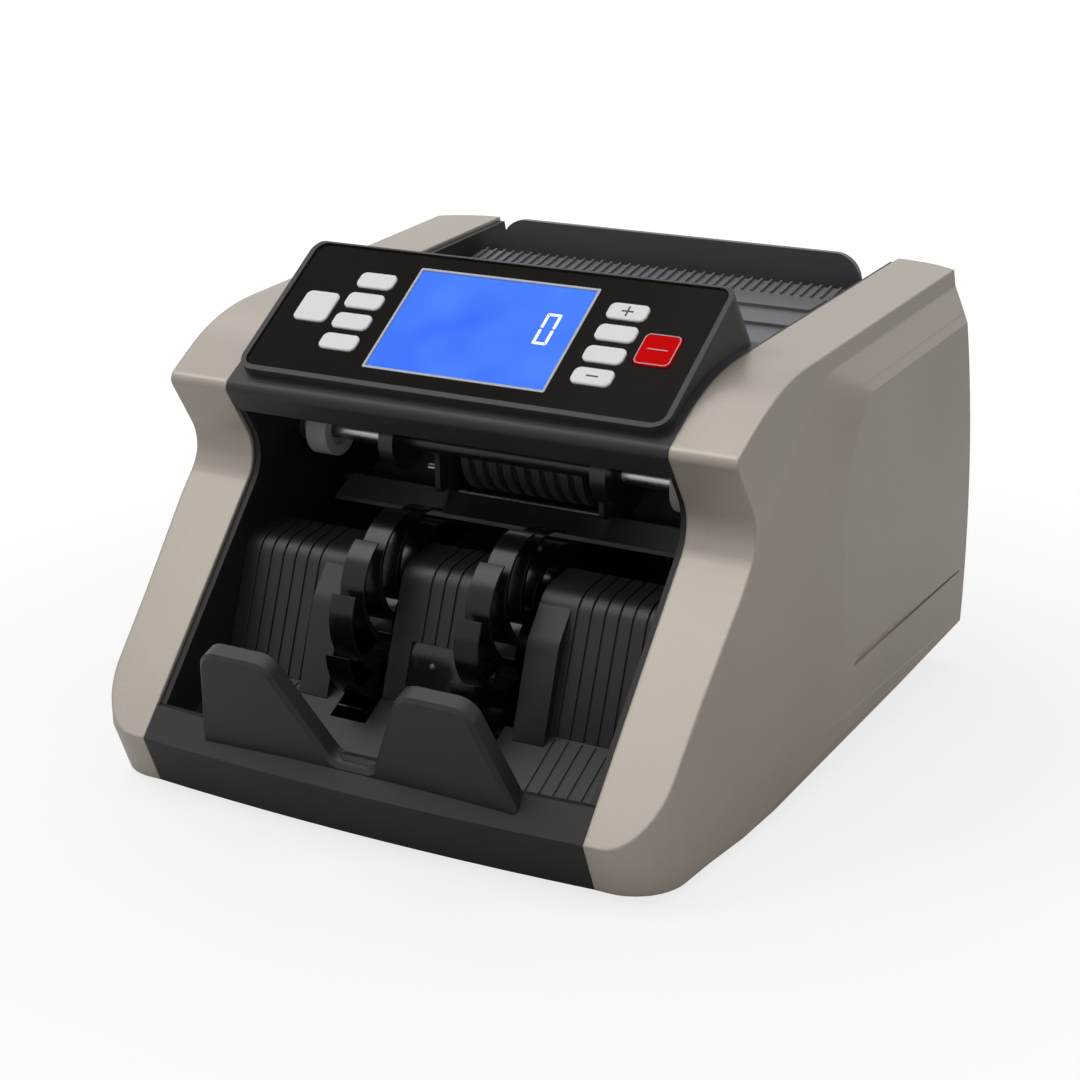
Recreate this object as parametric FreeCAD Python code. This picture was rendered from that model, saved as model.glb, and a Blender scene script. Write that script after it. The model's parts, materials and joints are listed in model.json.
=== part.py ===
import FreeCAD, Part
import math
import os

# Banknote counting machine, millimetres, +Z up, front towards -Y.
# The model is laid out from the front lip (y = 0) and the table (z = 0),
# then moved so that the origin is the bottom centre of the whole machine.

# Overall side profile, from the lip and the underside of the housing
foot_height = 3.0
throat_half = 101.0
strip_width = 29.0
bulge = 6.0
panel_wall = 2.5
lip_setback = 8.7
lip_height = 21.5
waist_depth = 85.5
waist_height = 118.3
nose_depth = 64.6
nose_height = 152.1
nose_slope = 30.0
top_height = 181.6
waist_radius = 18.0
nose_radius = 4.0
top_radius = 98.0
top_rise = 2.8
rear_depth = 297.0
rear_top_setback = 15.0
rear_bottom_setback = 6.0
rear_mid_height = 82.0
rear_plan_drop = 9.5
front_corner_radius = 21.0
side_taper = 3.0
side_taper_length = 70.0
swell_front = 40.0
swell_run = 10.0

# Raised field on each side panel: outline on the field, and outline where its bands run out
field_depth = 171.0
field_height = 153.0
field_lean = 54.7
field_radius = 12.0
field_bottom = 14.0
band_drop = 9.0
band_depth = 125.2
band_height = 174.3
band_lean = 38.1
band_radius = 30.0
band_bottom = -7.0
roll_front = 40.0
roll_front_size = 1.5
roll_rear_size = 21.0

# Inner frames and clearances
frame_wall = 3.0
frame_inset = 1.5
seat_gap = 0.2
run_gap = 0.05
move_gap = 0.4
edge_radius = 1.0
touch = 0.0001
past = 30.0
barrel_over = 12.0

# Base pan and feet
pan_wall = 2.5
bow = 4.0
rim_height = 32.4
rim_width = 3.0
foot_radius = 7.0
foot_inset = 16.0
foot_front = 40.0
foot_setback = 35.0
screw_radius = 3.5
screw_head = 1.8
screw_setback = 60.0
foot_taper = 0.6
lip_wall = 3.0
toe_wall = 2.0
toe_length = 30.0
toe_lap = 10.0

# Stacker pocket
floor_slope = 28.0
floor_wall = 2.5
floor_ref_depth = 46.2
floor_ref_height = 32.7
floor_rear = 52.0
groove_width = 0.8
groove_depth = 0.6
groove_pitch = 6.0
groove_count = 6
groove_end = 1.5
slot_clear = 2.0
guide_wall = 2.5
guide_lean = 20.8
guide_top = 87.0
guide_roll = 12.0
guide_rear = 92.0
pedestal_width = 14.0
pedestal_depth = 5.4
pedestal_top = 70.0
pedestal_fade = 82.0
pedestal_radius = 12.0
slot_half = 8.5
window_width = 21.5
window_height = 17.0
window_low = 42.0
window_drop = 0.8
guide_offset = 6.0
groove_margin = 3.0

# Note stop with two lobes
stop_lean = 18.8
stop_depth = 2.7
stop_low = 24.0
stop_height = 49.0
stop_thick = 8.0
stop_half = 73.2
lobe_outer = 60.0
lobe_inner = 30.0
valley_half = 9.0
valley_height = 6.0
stop_root = 9.0
lobe_radius = 9.0
valley_radius = 6.0
stop_chamfer = 1.6

# Stacking wheels
wheel_radius = 47.5
wheel_depth = 82.3
wheel_height = 58.0
wheel_offset = 29.0
wheel_width = 11.0
hub_radius = 17.0
vane_count = 12
vane_thick = 2.2
vane_bend = 24.0
vane_tip = 0.8
vane_root = 1.5

# Shafts, rollers and drive
shaft_radius = 4.0
bush_radius = 6.5
bush_length = 5.0
drum_depth = 147.0
drum_height = 115.0
drum_radius = 15.0
ring_radius = 18.0
ring_width = 3.6
ring_count = 9
drum_half = 29.0
cage_offset = 38.0
cage_wall = 2.5
cage_front = 2.5
cage_trim = 2.0
cage_slope = 4.0
cage_rise = 3.0
cage_chamfer = 8.0
cage_radius = 3.0
pin_radius = 1.5
pin_length = 5.0
pin_pitch = 7.4
pin_count = 3
pin_inset = 1.5
roller_depth = 117.0
roller_height = 123.0
roller_radius = 11.5
roller_bore = 7.0
roller_width = 10.0
roller_web = 3.0
roller_side = 11.6
disc_radius = 13.0
disc_width = 7.0
disc_offset = 50.0
pickup_depth = 176.0
pickup_height = 142.0
pickup_radius = 18.0
pickup_width = 12.0
pickup_places = (-52.0, -20.0, 20.0, 52.0)
pulley_width = 6.0
pulley_gap = 3.0
pulley_flange = 0.8
drive_radius = 14.0
motor_pulley_radius = 9.0
lift_radius = 10.0
stack_drive_radius = 9.0
stack_driven_radius = 16.0
belt_thick = 1.6
motor_setback = 75.0
motor_height = 66.0
motor_radius = 26.0
motor_length = 62.0
motor_flange = 4.0
motor_plate = 56.0
motor_plate_radius = 5.0
motor_cap = 5.0
motor_cap_radius = 15.6

# Throat guide and wear strip under the drum
guide_gap = 3.0
chute_wall = 2.0
ear_length = 7.6
chute_lip = 13.0
chute_fall = 6.0
strip_half = 34.5
strip_thick = 0.8
strip_depth = 3.0
chute_crest = -118.0
chute_back = 20.0
ear_half = 6.0

# Console
glass_length = 69.4
glass_depth = 71.4
glass_rise = 8.2
console_slope = 33.5
overlay_thick = 2.0
bezel_rise = 0.8
bezel_width = 2.6
glass_radius = 5.0
console_gap = 2.8
console_corner = 8.0
console_rear = 146.6
console_rear_rise = 21.9
console_rear_edge = 9.0
console_wall = 2.5
console_lip = 4.2
console_chin = 14.3
console_belly = 42.0
console_sag = 5.0
lip_radius = 1.4
apex_radius = 2.5
cavity_front = 12.0
cavity_fall = 4.5
ledge = 5.0
ledge_width = 5.0
board_thick = 1.6
screen_margin = 7.4
screen_length = 55.7
screen_centre = 34.9
screen_border = 1.3
screen_drop = 0.5
screen_radius = 0.8

# Keys
key_width = 17.6
key_length = 8.4
key_pitch = 11.4
key_margin = 37.4
key_first = 17.9
key_rows = 4
key_radius = 2.9
side_key_margin = 16.9
side_key_width = 16.2
side_key_length = 16.2
key_rise = 0.8
key_rest = 0.3
key_gap = 0.25
key_travel = 0.8

# Hopper
tray_wall = 3.0
tray_gap = 2.0
tray_rear_rise = 2.8
rib_length = 12.5
tray_shelf_over = 14.0
shelf_length = 17.5
terrace_length = 17.0
tray_front = 153.0
tray_over_pickup = 12.0
tray_step = 1.6
tray_shelf_rise = 0.4
tray_rear_belly = 2.0
tray_shelf_belly = 3.0
tray_step_belly = 1.0
wing_drop = 1.0
wing_shelf_drop = 1.5
tray_slot_side = 1.5
tray_slot_end = 2.0
wing_width = 14.6
rib_pitch = 4.7
rib_width = 1.0
rib_height = 1.2
rib_end = 0.5
rib_count = 41
back_side = 7.6
back_top = 185.0
back_under_shelf = 1.0
back_setback = 16.0
back_wall = 3.0
back_radius = 12.0

# Rear cover and its fittings
cover_wall = 2.5
cover_shelf = 4.0
vent_count = 9
vent_pitch = 9.0
vent_width = 3.6
vent_length = 34.0
vent_low = 88.0
vent_place = 42.0
inlet_width = 48.0
inlet_height = 28.0
inlet_side = 39.6
inlet_level = 34.0
inlet_length = 24.0
inlet_rim = 4.0
inlet_rim_low = 3.0
inlet_radius = 3.0
socket_width = 24.0
socket_height = 17.0
socket_chamfer = 5.0
socket_radius = 1.2
socket_floor = 5.0
socket_pins = ((-7.0, -2.0), (0.0, 2.0), (7.0, -2.0))
socket_pin_half = 1.0
socket_pin_height = 2.0
socket_pin_set = 4.0
switch_width = 22.0
switch_height = 30.0
switch_place = -12.0
switch_rim = 2.0
switch_radius = 2.0
switch_length = 18.0
well_floor = 12.0
well_gap = 0.8
rocker_width = 14.0
rocker_height = 22.0
rocker_swing = 18.0
rocker_pin = 1.2
rocker_pivot = 3.0
rocker_root = 4.0
rocker_root_half = 3.0
rocker_root_radius = 1.5
rocker_skirt = 1.6
rocker_peak = 1.4
rocker_dip = 0.6
rocker_edge = 0.6
rocker_dish = 12.0
fitting_setback = 27.0
fitting_flange = 2.0
knob_radius = 9.0
knob_length = 12.0
knob_level = 142.0
knob_stem = 3.0
knob_stand = 2.0
knob_depth = 20.0
flute_count = 16
flute_radius = 0.9
flute_out = 0.35
flute_end = 1.5

# Electrics inside
transformer_width = 52.0
transformer_depth = 44.0
transformer_height = 42.0
transformer_setback = 55.0
coil_inset = 14.5
coil_over = 6.0
coil_step = 5.0
mainboard_width = 96.0
mainboard_gap = 14.0
mainboard_height = 16.0
mainboard_front = 108.0
post_radius = 3.5

V = FreeCAD.Vector
X = V(1, 0, 0)
Y = V(0, 1, 0)
Z = V(0, 0, 1)

under = foot_height
strip_half_width = throat_half + strip_width
side_half = strip_half_width + bulge
frame_inner = throat_half - seat_gap - frame_wall
frame_outer = throat_half - seat_gap
inner_half = frame_inner - seat_gap
rear_top_depth = rear_depth - rear_top_setback
rear_bottom_depth = rear_depth - rear_bottom_setback
foot_rear = rear_depth - foot_setback
motor_depth = rear_depth - motor_setback
fitting_front = rear_depth - fitting_setback
back_depth = rear_top_depth - back_setback
cover_front = back_depth - cover_shelf
tray_rear = cover_front - tray_gap
tray_rib_front = tray_rear - rib_length
tray_step_one = tray_rib_front - shelf_length
tray_step_two = tray_step_one - terrace_length
bed_half = inner_half - wing_width
back_half = inner_half - back_side
chute_half = inner_half - ear_length
roller_offset = inner_half - roller_side
inlet_place = inlet_side - inner_half
transformer_place = inlet_place
transformer_rear = rear_depth - transformer_setback
transformer_front = transformer_rear - transformer_depth
mainboard_depth = transformer_front - coil_over - mainboard_gap - mainboard_front
tray_front_height = pickup_height + tray_over_pickup
tray_rib_height = tray_front_height + tray_shelf_over
tray_rear_height = tray_rib_height + tray_rear_rise
back_low = tray_rib_height - back_under_shelf
glass_height = nose_height + glass_rise
console_rear_top = nose_height + console_rear_rise
console_rear_low = console_rear_top - console_rear_edge
console_half = throat_half - console_gap
glass_width = 2 * (console_half - bezel_width)
key_column = glass_width / 2 - key_margin
side_key_column = glass_width / 2 - side_key_margin
screen_width = 2 * (key_column - key_width / 2 - screen_margin)


def in_yz(x):
    return lambda a, b: V(x, a, b)


def in_xy(z):
    return lambda a, b: V(a, b, z)


def in_xz(y):
    return lambda a, b: V(a, y, b)


def rounded(points, radii, place):
    """Closed outline through points, each corner rounded by its radius."""
    corners = [V(a, b, 0) for a, b in points]
    count = len(corners)
    starts = []
    edges = []
    for index, corner in enumerate(corners):
        before = (corners[index - 1] - corner).normalize()
        after = (corners[(index + 1) % count] - corner).normalize()
        radius = radii[index]
        if radius <= 0:
            starts.append((corner, corner, corner))
            continue
        half = before.getAngle(after) / 2
        reach = radius / math.tan(half)
        middle = (before + after).normalize()
        centre = corner + middle * (radius / math.sin(half))
        starts.append((corner + before * reach, centre - middle * radius, corner + after * reach))
    for index, (first, mid, last) in enumerate(starts):
        if first.distanceToPoint(last) > touch:
            ends = [place(first.x, first.y), place(mid.x, mid.y), place(last.x, last.y)]
            edges.append(Part.Arc(*ends).toShape())
        following = starts[(index + 1) % count][0]
        if last.distanceToPoint(following) > touch:
            edges.append(Part.makeLine(place(last.x, last.y), place(following.x, following.y)))
    return Part.Wire(edges)


def prism(points, radii, place, along):
    return Part.Face(rounded(points, radii, place)).extrude(along)


def side_prism(points, radii, low, high):
    return prism(points, radii, in_yz(low), X * (high - low))


def sharp(points):
    return [0] * len(points)


def block(x0, x1, y0, y1, z0, z1):
    return Part.makeBox(x1 - x0, y1 - y0, z1 - z0, V(x0, y0, z0))


def rod(x0, x1, y, z, radius):
    return Part.makeCylinder(radius, x1 - x0, V(x0, y, z), X)


def tube(x0, x1, y, z, outer, inner):
    return rod(x0, x1, y, z, outer).cut(rod(x0, x1, y, z, inner))


def mirrored(shape):
    return shape.mirror(V(0, 0, 0), X)


def rectangle(cx, cy, width, length):
    return [
        (cx - width / 2, cy - length / 2),
        (cx + width / 2, cy - length / 2),
        (cx + width / 2, cy + length / 2),
        (cx - width / 2, cy + length / 2),
    ]


# Side profile shared by the panels, frames and console
def profile_points():
    steep = math.tan(math.radians(nose_slope))
    gentle = math.tan(math.radians(top_rise))
    behind = rear_depth + lip_setback
    start = top_height - gentle * (rear_top_depth - nose_depth)
    run = (start - nose_height) / (steep - gentle)
    points = [
        (lip_setback, under),
        (0, under + lip_height),
        (waist_depth, under + waist_height),
        (nose_depth, under + nose_height),
        (nose_depth + run, under + nose_height + run * steep),
        (behind, under + top_height + gentle * (behind - rear_top_depth)),
        (behind, under),
    ]
    radii = [0, 0, waist_radius, nose_radius, top_radius, 0, 0]
    return points, radii


def inset_face(points, radii, inset, x):
    outline = rounded(points, radii, in_yz(x))
    if inset > 0:
        outline = outline.makeOffset2D(-inset)
    return Part.Face(outline)


def profile_prism(inset, low, high):
    points, radii = profile_points()
    return inset_face(points, radii, inset, low).extrude(X * (high - low))


def rear_arc(inset):
    top = V(0, rear_top_depth - inset, under + top_height)
    middle = V(0, rear_depth - inset, under + rear_mid_height)
    bottom = V(0, rear_bottom_depth - inset, under)
    return Part.Arc(top, middle, bottom)


def ahead_of_rear(inset):
    """Everything in front of the rear arc, across the machine."""
    arc = rear_arc(inset).toShape()
    top = V(0, rear_top_depth - inset, under + top_height)
    bottom = V(0, rear_bottom_depth - inset, under)
    corners = [bottom, V(0, -past, under), V(0, -past, under + top_height), top]
    lines = [Part.makeLine(corners[index], corners[index + 1]) for index in range(len(corners) - 1)]
    solid = Part.Face(Part.Wire([arc] + lines)).extrude(X * 2 * side_half)
    solid.translate(V(-side_half, 0, 0))
    return solid


def rear_barrel(inset):
    """Solid of revolution whose skin is the double-curved rear of a side panel."""
    span = throat_half + strip_width + bulge - throat_half
    plan_radius = (span ** 2 + rear_plan_drop ** 2) / (2 * rear_plan_drop)
    axis_depth = rear_depth - plan_radius
    circle = rear_arc(inset).toShape().Curve
    centre = circle.Center
    high = under + top_height + barrel_over
    low = under - barrel_over

    def reach(z):
        return centre.y + math.sqrt(circle.Radius ** 2 - (z - centre.z) ** 2)

    middle = under + rear_mid_height
    skin = Part.Arc(
        V(throat_half, reach(high), high),
        V(throat_half, reach(middle), middle),
        V(throat_half, reach(low), low),
    ).toShape()
    axis_top = V(throat_half, axis_depth, high)
    axis_low = V(throat_half, axis_depth, low)
    outline = Part.Wire([
        skin,
        Part.makeLine(V(throat_half, reach(low), low), axis_low),
        Part.makeLine(axis_low, axis_top),
        Part.makeLine(axis_top, V(throat_half, reach(high), high)),
    ])
    barrel = Part.Face(outline).revolve(axis_low, Z, 360)
    return barrel, axis_depth


def plan_wire(front, corner, half, swell, z):
    """Plan outline of a side panel: flat front, round corner, slow taper, straight side."""
    side = throat_half + half
    length = corner + side_taper_length
    tapered = side - side_taper
    points = [
        (throat_half - panel_wall, front),
        (tapered, front),
        (tapered + side_taper * swell_front / length, front + swell_front),
        (side + swell, front + length + swell * swell_run),
        (side + swell, rear_depth + lip_setback),
        (throat_half - panel_wall, rear_depth + lip_setback),
    ]
    return rounded(points, [0, corner, 0, 0, 0, 0], in_xy(z))


def plan_body(inset, swell):
    """Body with the plan outline of a side panel, undercut below the lip crease."""
    half = strip_width - inset
    crease = under + lip_height
    corner = front_corner_radius - inset
    low = plan_wire(lip_setback + inset, corner, half, swell, under + inset)
    mid = plan_wire(inset, corner, half, swell, crease)
    lower = Part.makeLoft([low, mid], True, True)
    upper = Part.Face(mid).extrude(Z * top_height)
    return lower.fuse(upper)


def bottom_roll(inset):
    """Cutter for the lower outer edge, which rolls in more and more towards the rear."""
    shift = inset * math.sqrt(2)
    reach = side_half + bulge

    def corner(size, depth):
        edge = side_half - size - shift
        points = [(edge, under), (reach, under), (reach, under + reach - edge)]
        return rounded(points, sharp(points), in_xz(depth))

    front = corner(roll_front_size, roll_front)
    rear = corner(roll_rear_size, rear_depth + lip_setback)
    return Part.makeLoft([front, rear], True, True)


def panel_solid(inset):
    """One side panel as a full body, every outer face moved in by the inset."""
    crease = under + lip_height
    body = plan_body(inset, 0)
    body = body.fuse(side_field(inset).common(plan_body(inset, bulge)))
    points, radii = profile_points()
    reach = throat_half + strip_width + bulge + 1.0
    side = inset_face(points, radii, inset, throat_half - panel_wall).extrude(X * (reach - throat_half))
    lower_keep = block(throat_half - panel_wall, reach, -lip_setback, rear_depth, under + inset, crease)
    side = side.fuse(lower_keep)
    body = body.common(side)
    barrel, axis_depth = rear_barrel(inset)
    behind = block(throat_half - panel_wall, reach + 1, axis_depth, rear_depth + past, under - past,
                   under + top_height + past)
    return body.cut([behind.cut(barrel), bottom_roll(inset)]).removeSplitter()


def field_outline(depth, height, lean, bottom, radius, x):
    """Leaning front edge and gently rising top edge of the raised field, in one plane."""
    rear = rear_depth + lip_setback
    lift = math.tan(math.radians(top_rise))
    drop = (height - bottom) / math.tan(math.radians(lean))
    points = [
        (depth - drop, under + bottom),
        (depth, under + height),
        (rear, under + height + lift * (rear - depth)),
        (rear, under + bottom),
    ]
    return rounded(points, [0, radius, 0, 0], in_yz(x))


def side_field(inset):
    """Raised field with sloped bands along its front, top and bottom edges."""
    outer = side_half - inset
    far = field_outline(field_depth, field_height, field_lean, field_bottom, field_radius, outer)
    near = field_outline(band_depth, band_height, band_lean, band_bottom, band_radius, outer - band_drop)
    return Part.makeLoft([near, far], True, True)


def side_panel():
    outer = panel_solid(0)
    inner = panel_solid(panel_wall)
    keep = block(throat_half, side_half + past, -past, rear_depth + past, 0, 2 * top_height)
    return outer.cut(inner).common(keep)


def console_points():
    lean = math.radians(console_slope)
    run = (math.cos(lean), math.sin(lean))
    up = (-run[1], run[0])
    foot = (glass_depth, under + glass_height)
    low = (
        foot[0] - run[0] * bezel_width + up[0] * bezel_rise,
        foot[1] - run[1] * bezel_width + up[1] * bezel_rise,
    )
    reach = glass_length + bezel_width
    apex = (
        foot[0] + run[0] * reach + up[0] * bezel_rise,
        foot[1] + run[1] * reach + up[1] * bezel_rise,
    )
    nose = (nose_depth, under + nose_height)
    slope = math.radians(nose_slope)
    lip = (nose[0] + console_lip * math.cos(slope), nose[1] + console_lip * math.sin(slope))
    back = V(waist_depth - nose_depth, waist_height - nose_height, 0).normalize() * console_chin
    chin = (nose[0] + back.x, nose[1] + back.y)
    points = [
        nose,
        lip,
        low,
        apex,
        (console_rear, under + console_rear_top),
        (console_rear, under + console_rear_low),
        (console_rear - console_belly, under + nose_height - console_sag),
        chin,
    ]
    radii = [nose_radius, edge_radius, lip_radius, apex_radius, edge_radius, 0, 0, edge_radius]
    return points, radii


def on_glass(x, s, h):
    lean = math.radians(console_slope)
    return V(
        x,
        glass_depth + s * math.cos(lean) - h * math.sin(lean),
        under + glass_height + s * math.sin(lean) + h * math.cos(lean),
    )


def glass_prism(points, radii, low, high):
    start = on_glass(0, 0, low)
    end = on_glass(0, 0, high)
    return prism(points, radii, lambda a, b: on_glass(a, b, low), end - start)


def console_outer():
    points, radii = console_points()
    wedge = side_prism(points, radii, -console_half, console_half)
    top = rectangle(0, glass_length / 2, 2 * console_half, glass_length + 2 * bezel_width)
    wedge = wedge.common(glass_prism(top, [console_corner] * 4, -2 * glass_length, glass_length))
    flange = side_prism(points, radii, -frame_outer, frame_outer)
    return wedge.fuse(flange.common(profile_prism(0, -frame_outer, frame_outer))).removeSplitter()


def console_housing():
    shell = console_outer()
    cavity_half = console_half - console_wall
    floor_low = on_glass(0, ledge_width / 2 - seat_gap, -ledge)
    floor_high = on_glass(0, glass_length - ledge_width / 2 + seat_gap, -ledge)
    cavity = [
        (floor_low.y, floor_low.z),
        (floor_high.y, floor_high.z),
        (console_rear - console_wall, under + console_rear_top + 1.0),
        (console_rear - console_wall, under + console_rear_low + console_wall),
        (console_rear - console_belly, under + nose_height - console_sag + console_wall),
        (nose_depth + cavity_front, under + nose_height - cavity_fall),
    ]
    shell = shell.cut(side_prism(cavity, sharp(cavity), -cavity_half, cavity_half))
    seat = rectangle(0, glass_length / 2, glass_width + 2 * seat_gap, glass_length + 2 * seat_gap)
    shell = shell.cut(glass_prism(seat, [glass_radius] * 4, -overlay_thick, 3 * bezel_rise))
    opening = rectangle(0, glass_length / 2, glass_width - 2 * ledge_width, glass_length - 2 * ledge_width)
    return shell.cut(glass_prism(opening, [glass_radius] * 4, -ledge - 1.0, 0))


def key_layout():
    """Name, centre and size of every key on the console."""
    layout = {}
    for row in range(key_rows):
        level = key_first + row * key_pitch
        layout["left_key_%d" % (row + 1)] = (-key_column, level, key_width, key_length)
        layout["right_key_%d" % (row + 1)] = (key_column, level, key_width, key_length)
    layout["function_key"] = (-side_key_column, screen_centre, side_key_width, side_key_length)
    layout["start_key"] = (side_key_column, screen_centre, side_key_width, side_key_length)
    return layout


def key_cap(cx, cy, width, length):
    outline = rectangle(cx, cy, width, length)
    skirt = ledge - key_travel - key_rest
    cap = glass_prism(outline, [key_radius] * 4, -skirt, key_rise)
    top = [edge for edge in cap.Edges if all(abs((v.Point - on_glass(v.X, 0, key_rise)).dot(
        on_glass(0, 0, 1) - on_glass(0, 0, 0))) < touch for v in edge.Vertexes)]
    return cap.makeChamfer(key_rise / 2, top)


def control_panel():
    outline = rectangle(0, glass_length / 2, glass_width, glass_length)
    sheet = glass_prism(outline, [glass_radius] * 4, -overlay_thick, 0)
    window = rectangle(0, screen_centre, screen_width, screen_length)
    holes = [glass_prism(window, [1.0] * 4, -overlay_thick - 1, 1)]
    for cx, cy, width, length in key_layout().values():
        hole = rectangle(cx, cy, width + 2 * key_gap, length + 2 * key_gap)
        holes.append(glass_prism(hole, [key_radius + key_gap] * 4, -overlay_thick - 1, 1))
    return sheet.cut(holes)


def screen_bezel():
    outer = rectangle(0, screen_centre, screen_width - 2 * seat_gap, screen_length - 2 * seat_gap)
    inner = rectangle(0, screen_centre, screen_width - 2 * screen_border, screen_length - 2 * screen_border)
    ring = glass_prism(outer, [screen_radius] * 4, -ledge, 0)
    return ring.cut(glass_prism(inner, [screen_radius / 2] * 4, -ledge - 1, 1))


def screen():
    width = screen_width - 2 * screen_border - 2 * seat_gap
    length = screen_length - 2 * screen_border - 2 * seat_gap
    outline = rectangle(0, screen_centre, width, length)
    return glass_prism(outline, [screen_radius / 2] * 4, -ledge, -screen_drop)


def key_board():
    outline = rectangle(0, glass_length / 2, glass_width - ledge_width, glass_length - ledge_width)
    return glass_prism(outline, [1.0] * 4, -ledge - board_thick, -ledge)


# Frames that carry the shafts
def shaft_places():
    return [
        (drum_depth, under + drum_height),
        (roller_depth, under + roller_height),
        (pickup_depth, under + pickup_height),
        (wheel_depth, under + wheel_height),
    ]


def side_frame():
    plate = profile_prism(frame_inset, frame_inner, frame_outer)
    limit = block(0, side_half, -past, rear_depth, under + pan_wall, 2 * top_height)
    plate = plate.common(limit).common(ahead_of_rear(frame_inset))
    plate = plate.cut([console_outer(), bowed(front_skin_points())])
    for depth, height in shaft_places():
        plate = plate.cut(rod(frame_inner - 1, frame_outer + 1, depth, height, bush_radius))
    return plate


def bushes():
    solids = []
    for depth, height in shaft_places():
        for side in (-1, 1):
            middle = side * (frame_inner + frame_outer) / 2
            low = middle - bush_length / 2
            high = middle + bush_length / 2
            solids.append(tube(low, high, depth, height, bush_radius, shaft_radius + run_gap))
    return Part.makeCompound(solids)


# Base pan with its bowed front, and what stands on it
def bowed(points):
    half = throat_half
    radius = (half ** 2 + bow ** 2) / (2 * bow)
    axis = V(0, radius - bow, 0)
    sweep = 2 * math.degrees(math.asin(half / radius)) + bow
    face = Part.Face(rounded([(a - bow, b) for a, b in points], sharp(points), in_yz(0)))
    face.rotate(axis, Z, -sweep / 2)
    solid = face.revolve(axis, Z, sweep)
    limit = block(-frame_outer, frame_outer, -past, rear_depth + past, 0, top_height)
    return solid.common(limit)


def rim_point():
    slope = (waist_height - lip_height) / waist_depth
    return ((rim_height - lip_height) / slope, under + rim_height)


def front_skin_points():
    rim_y, rim_z = rim_point()
    return [
        (lip_setback, under),
        (0, under + lip_height),
        (rim_y, rim_z),
        (rim_y + rim_width, rim_z),
        (rim_y + rim_width, under),
    ]


def base_pan():
    rim_y, rim_z = rim_point()
    pan_rear = rear_bottom_depth - cover_wall - seat_gap
    skin = [
        (lip_setback, under),
        (0, under + lip_height),
        (rim_y, rim_z),
        (rim_y + rim_width, rim_z),
        (rim_y + rim_width, rim_z - pan_wall),
        (lip_wall, under + lip_height),
        (lip_setback + toe_wall, under + pan_wall),
        (lip_setback + toe_length, under + pan_wall),
        (lip_setback + toe_length, under),
    ]
    pan = bowed(skin)
    plate_front = lip_setback + toe_length - toe_lap
    plate = block(-frame_outer, frame_outer, plate_front, pan_rear, under, under + pan_wall)
    posts = []
    for x in (-1, 1):
        for y in (0, 1):
            px = x * (mainboard_width / 2 - 2 * post_radius)
            py = mainboard_front + 2 * post_radius + y * (mainboard_depth - 4 * post_radius)
            length = mainboard_height - pan_wall
            posts.append(Part.makeCylinder(post_radius, length, V(px, py, under + pan_wall), Z))
    return pan.fuse([plate] + posts).removeSplitter()


def mainboard():
    low = under + mainboard_height
    outline = rectangle(0, mainboard_front + mainboard_depth / 2, mainboard_width, mainboard_depth)
    return prism(outline, [2.0] * 4, in_xy(low), Z * board_thick)


def transformer():
    low = under + pan_wall
    x0 = transformer_place - transformer_width / 2
    x1 = x0 + transformer_width
    core = block(x0, x1, transformer_front, transformer_rear, low, low + transformer_height)
    y0 = transformer_front - coil_over
    coil = block(x0 + coil_inset, x1 - coil_inset, y0, transformer_rear + coil_over,
                 low + coil_step, low + transformer_height - coil_step)
    return core.fuse(coil).removeSplitter()


def feet():
    place = throat_half - foot_inset
    solids = []
    for x in (-place, place):
        for y in (foot_front, foot_rear):
            foot = Part.makeCone(foot_radius - foot_taper, foot_radius, foot_height, V(x, y, 0), Z)
            solids.append(foot)
    return Part.makeCompound(solids)


def base_screws():
    place = throat_half - foot_inset
    solids = []
    for x in (-place, place):
        for y in (foot_front + screw_setback, foot_rear - screw_setback):
            solids.append(Part.makeCylinder(screw_radius, screw_head, V(x, y, under - screw_head), Z))
    return Part.makeCompound(solids)


# Stacker pocket
def floor_level(depth):
    return under + floor_ref_height + (depth - floor_ref_depth) * math.tan(math.radians(floor_slope))


def groove_places(first):
    return [first + index * groove_pitch for index in range(groove_count)]


def stacker_floor():
    rim_y = rim_point()[0]
    front = rim_y + rim_width + seat_gap
    points = [
        (front, floor_level(front)),
        (floor_rear, floor_level(floor_rear)),
        (floor_rear, floor_level(floor_rear) - floor_wall),
        (front, floor_level(front) - floor_wall),
    ]
    plate = side_prism(points, sharp(points), -inner_half, inner_half)
    cuts = []
    slot_front = wheel_depth - math.sqrt(wheel_radius ** 2 - (under + wheel_height - floor_level(
        floor_ref_depth)) ** 2) - slot_clear
    for side in (-1, 1):
        middle = side * wheel_offset
        cuts.append(block(middle - slot_half, middle + slot_half, slot_front, floor_rear + 1, 0, top_height))
    lines = groove_places(wheel_offset + slot_half + guide_offset + pedestal_width + groove_margin)
    lines += [-x for x in lines]
    lines += [-groove_pitch, 0.0, groove_pitch]
    end_front = front + groove_end
    end_rear = floor_rear - 1.0
    strip = [
        (end_front, floor_level(end_front) + 1.0),
        (end_rear, floor_level(end_rear) + 1.0),
        (end_rear, floor_level(end_rear) - groove_depth),
        (end_front, floor_level(end_front) - groove_depth),
    ]
    for x in lines:
        if abs(x) < inner_half - groove_width:
            cuts.append(side_prism(strip, sharp(strip), x - groove_width / 2, x + groove_width / 2))
    return plate.cut(cuts)


def guide_face(z):
    return floor_rear + (z - floor_level(floor_rear)) * math.tan(math.radians(guide_lean))


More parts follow.
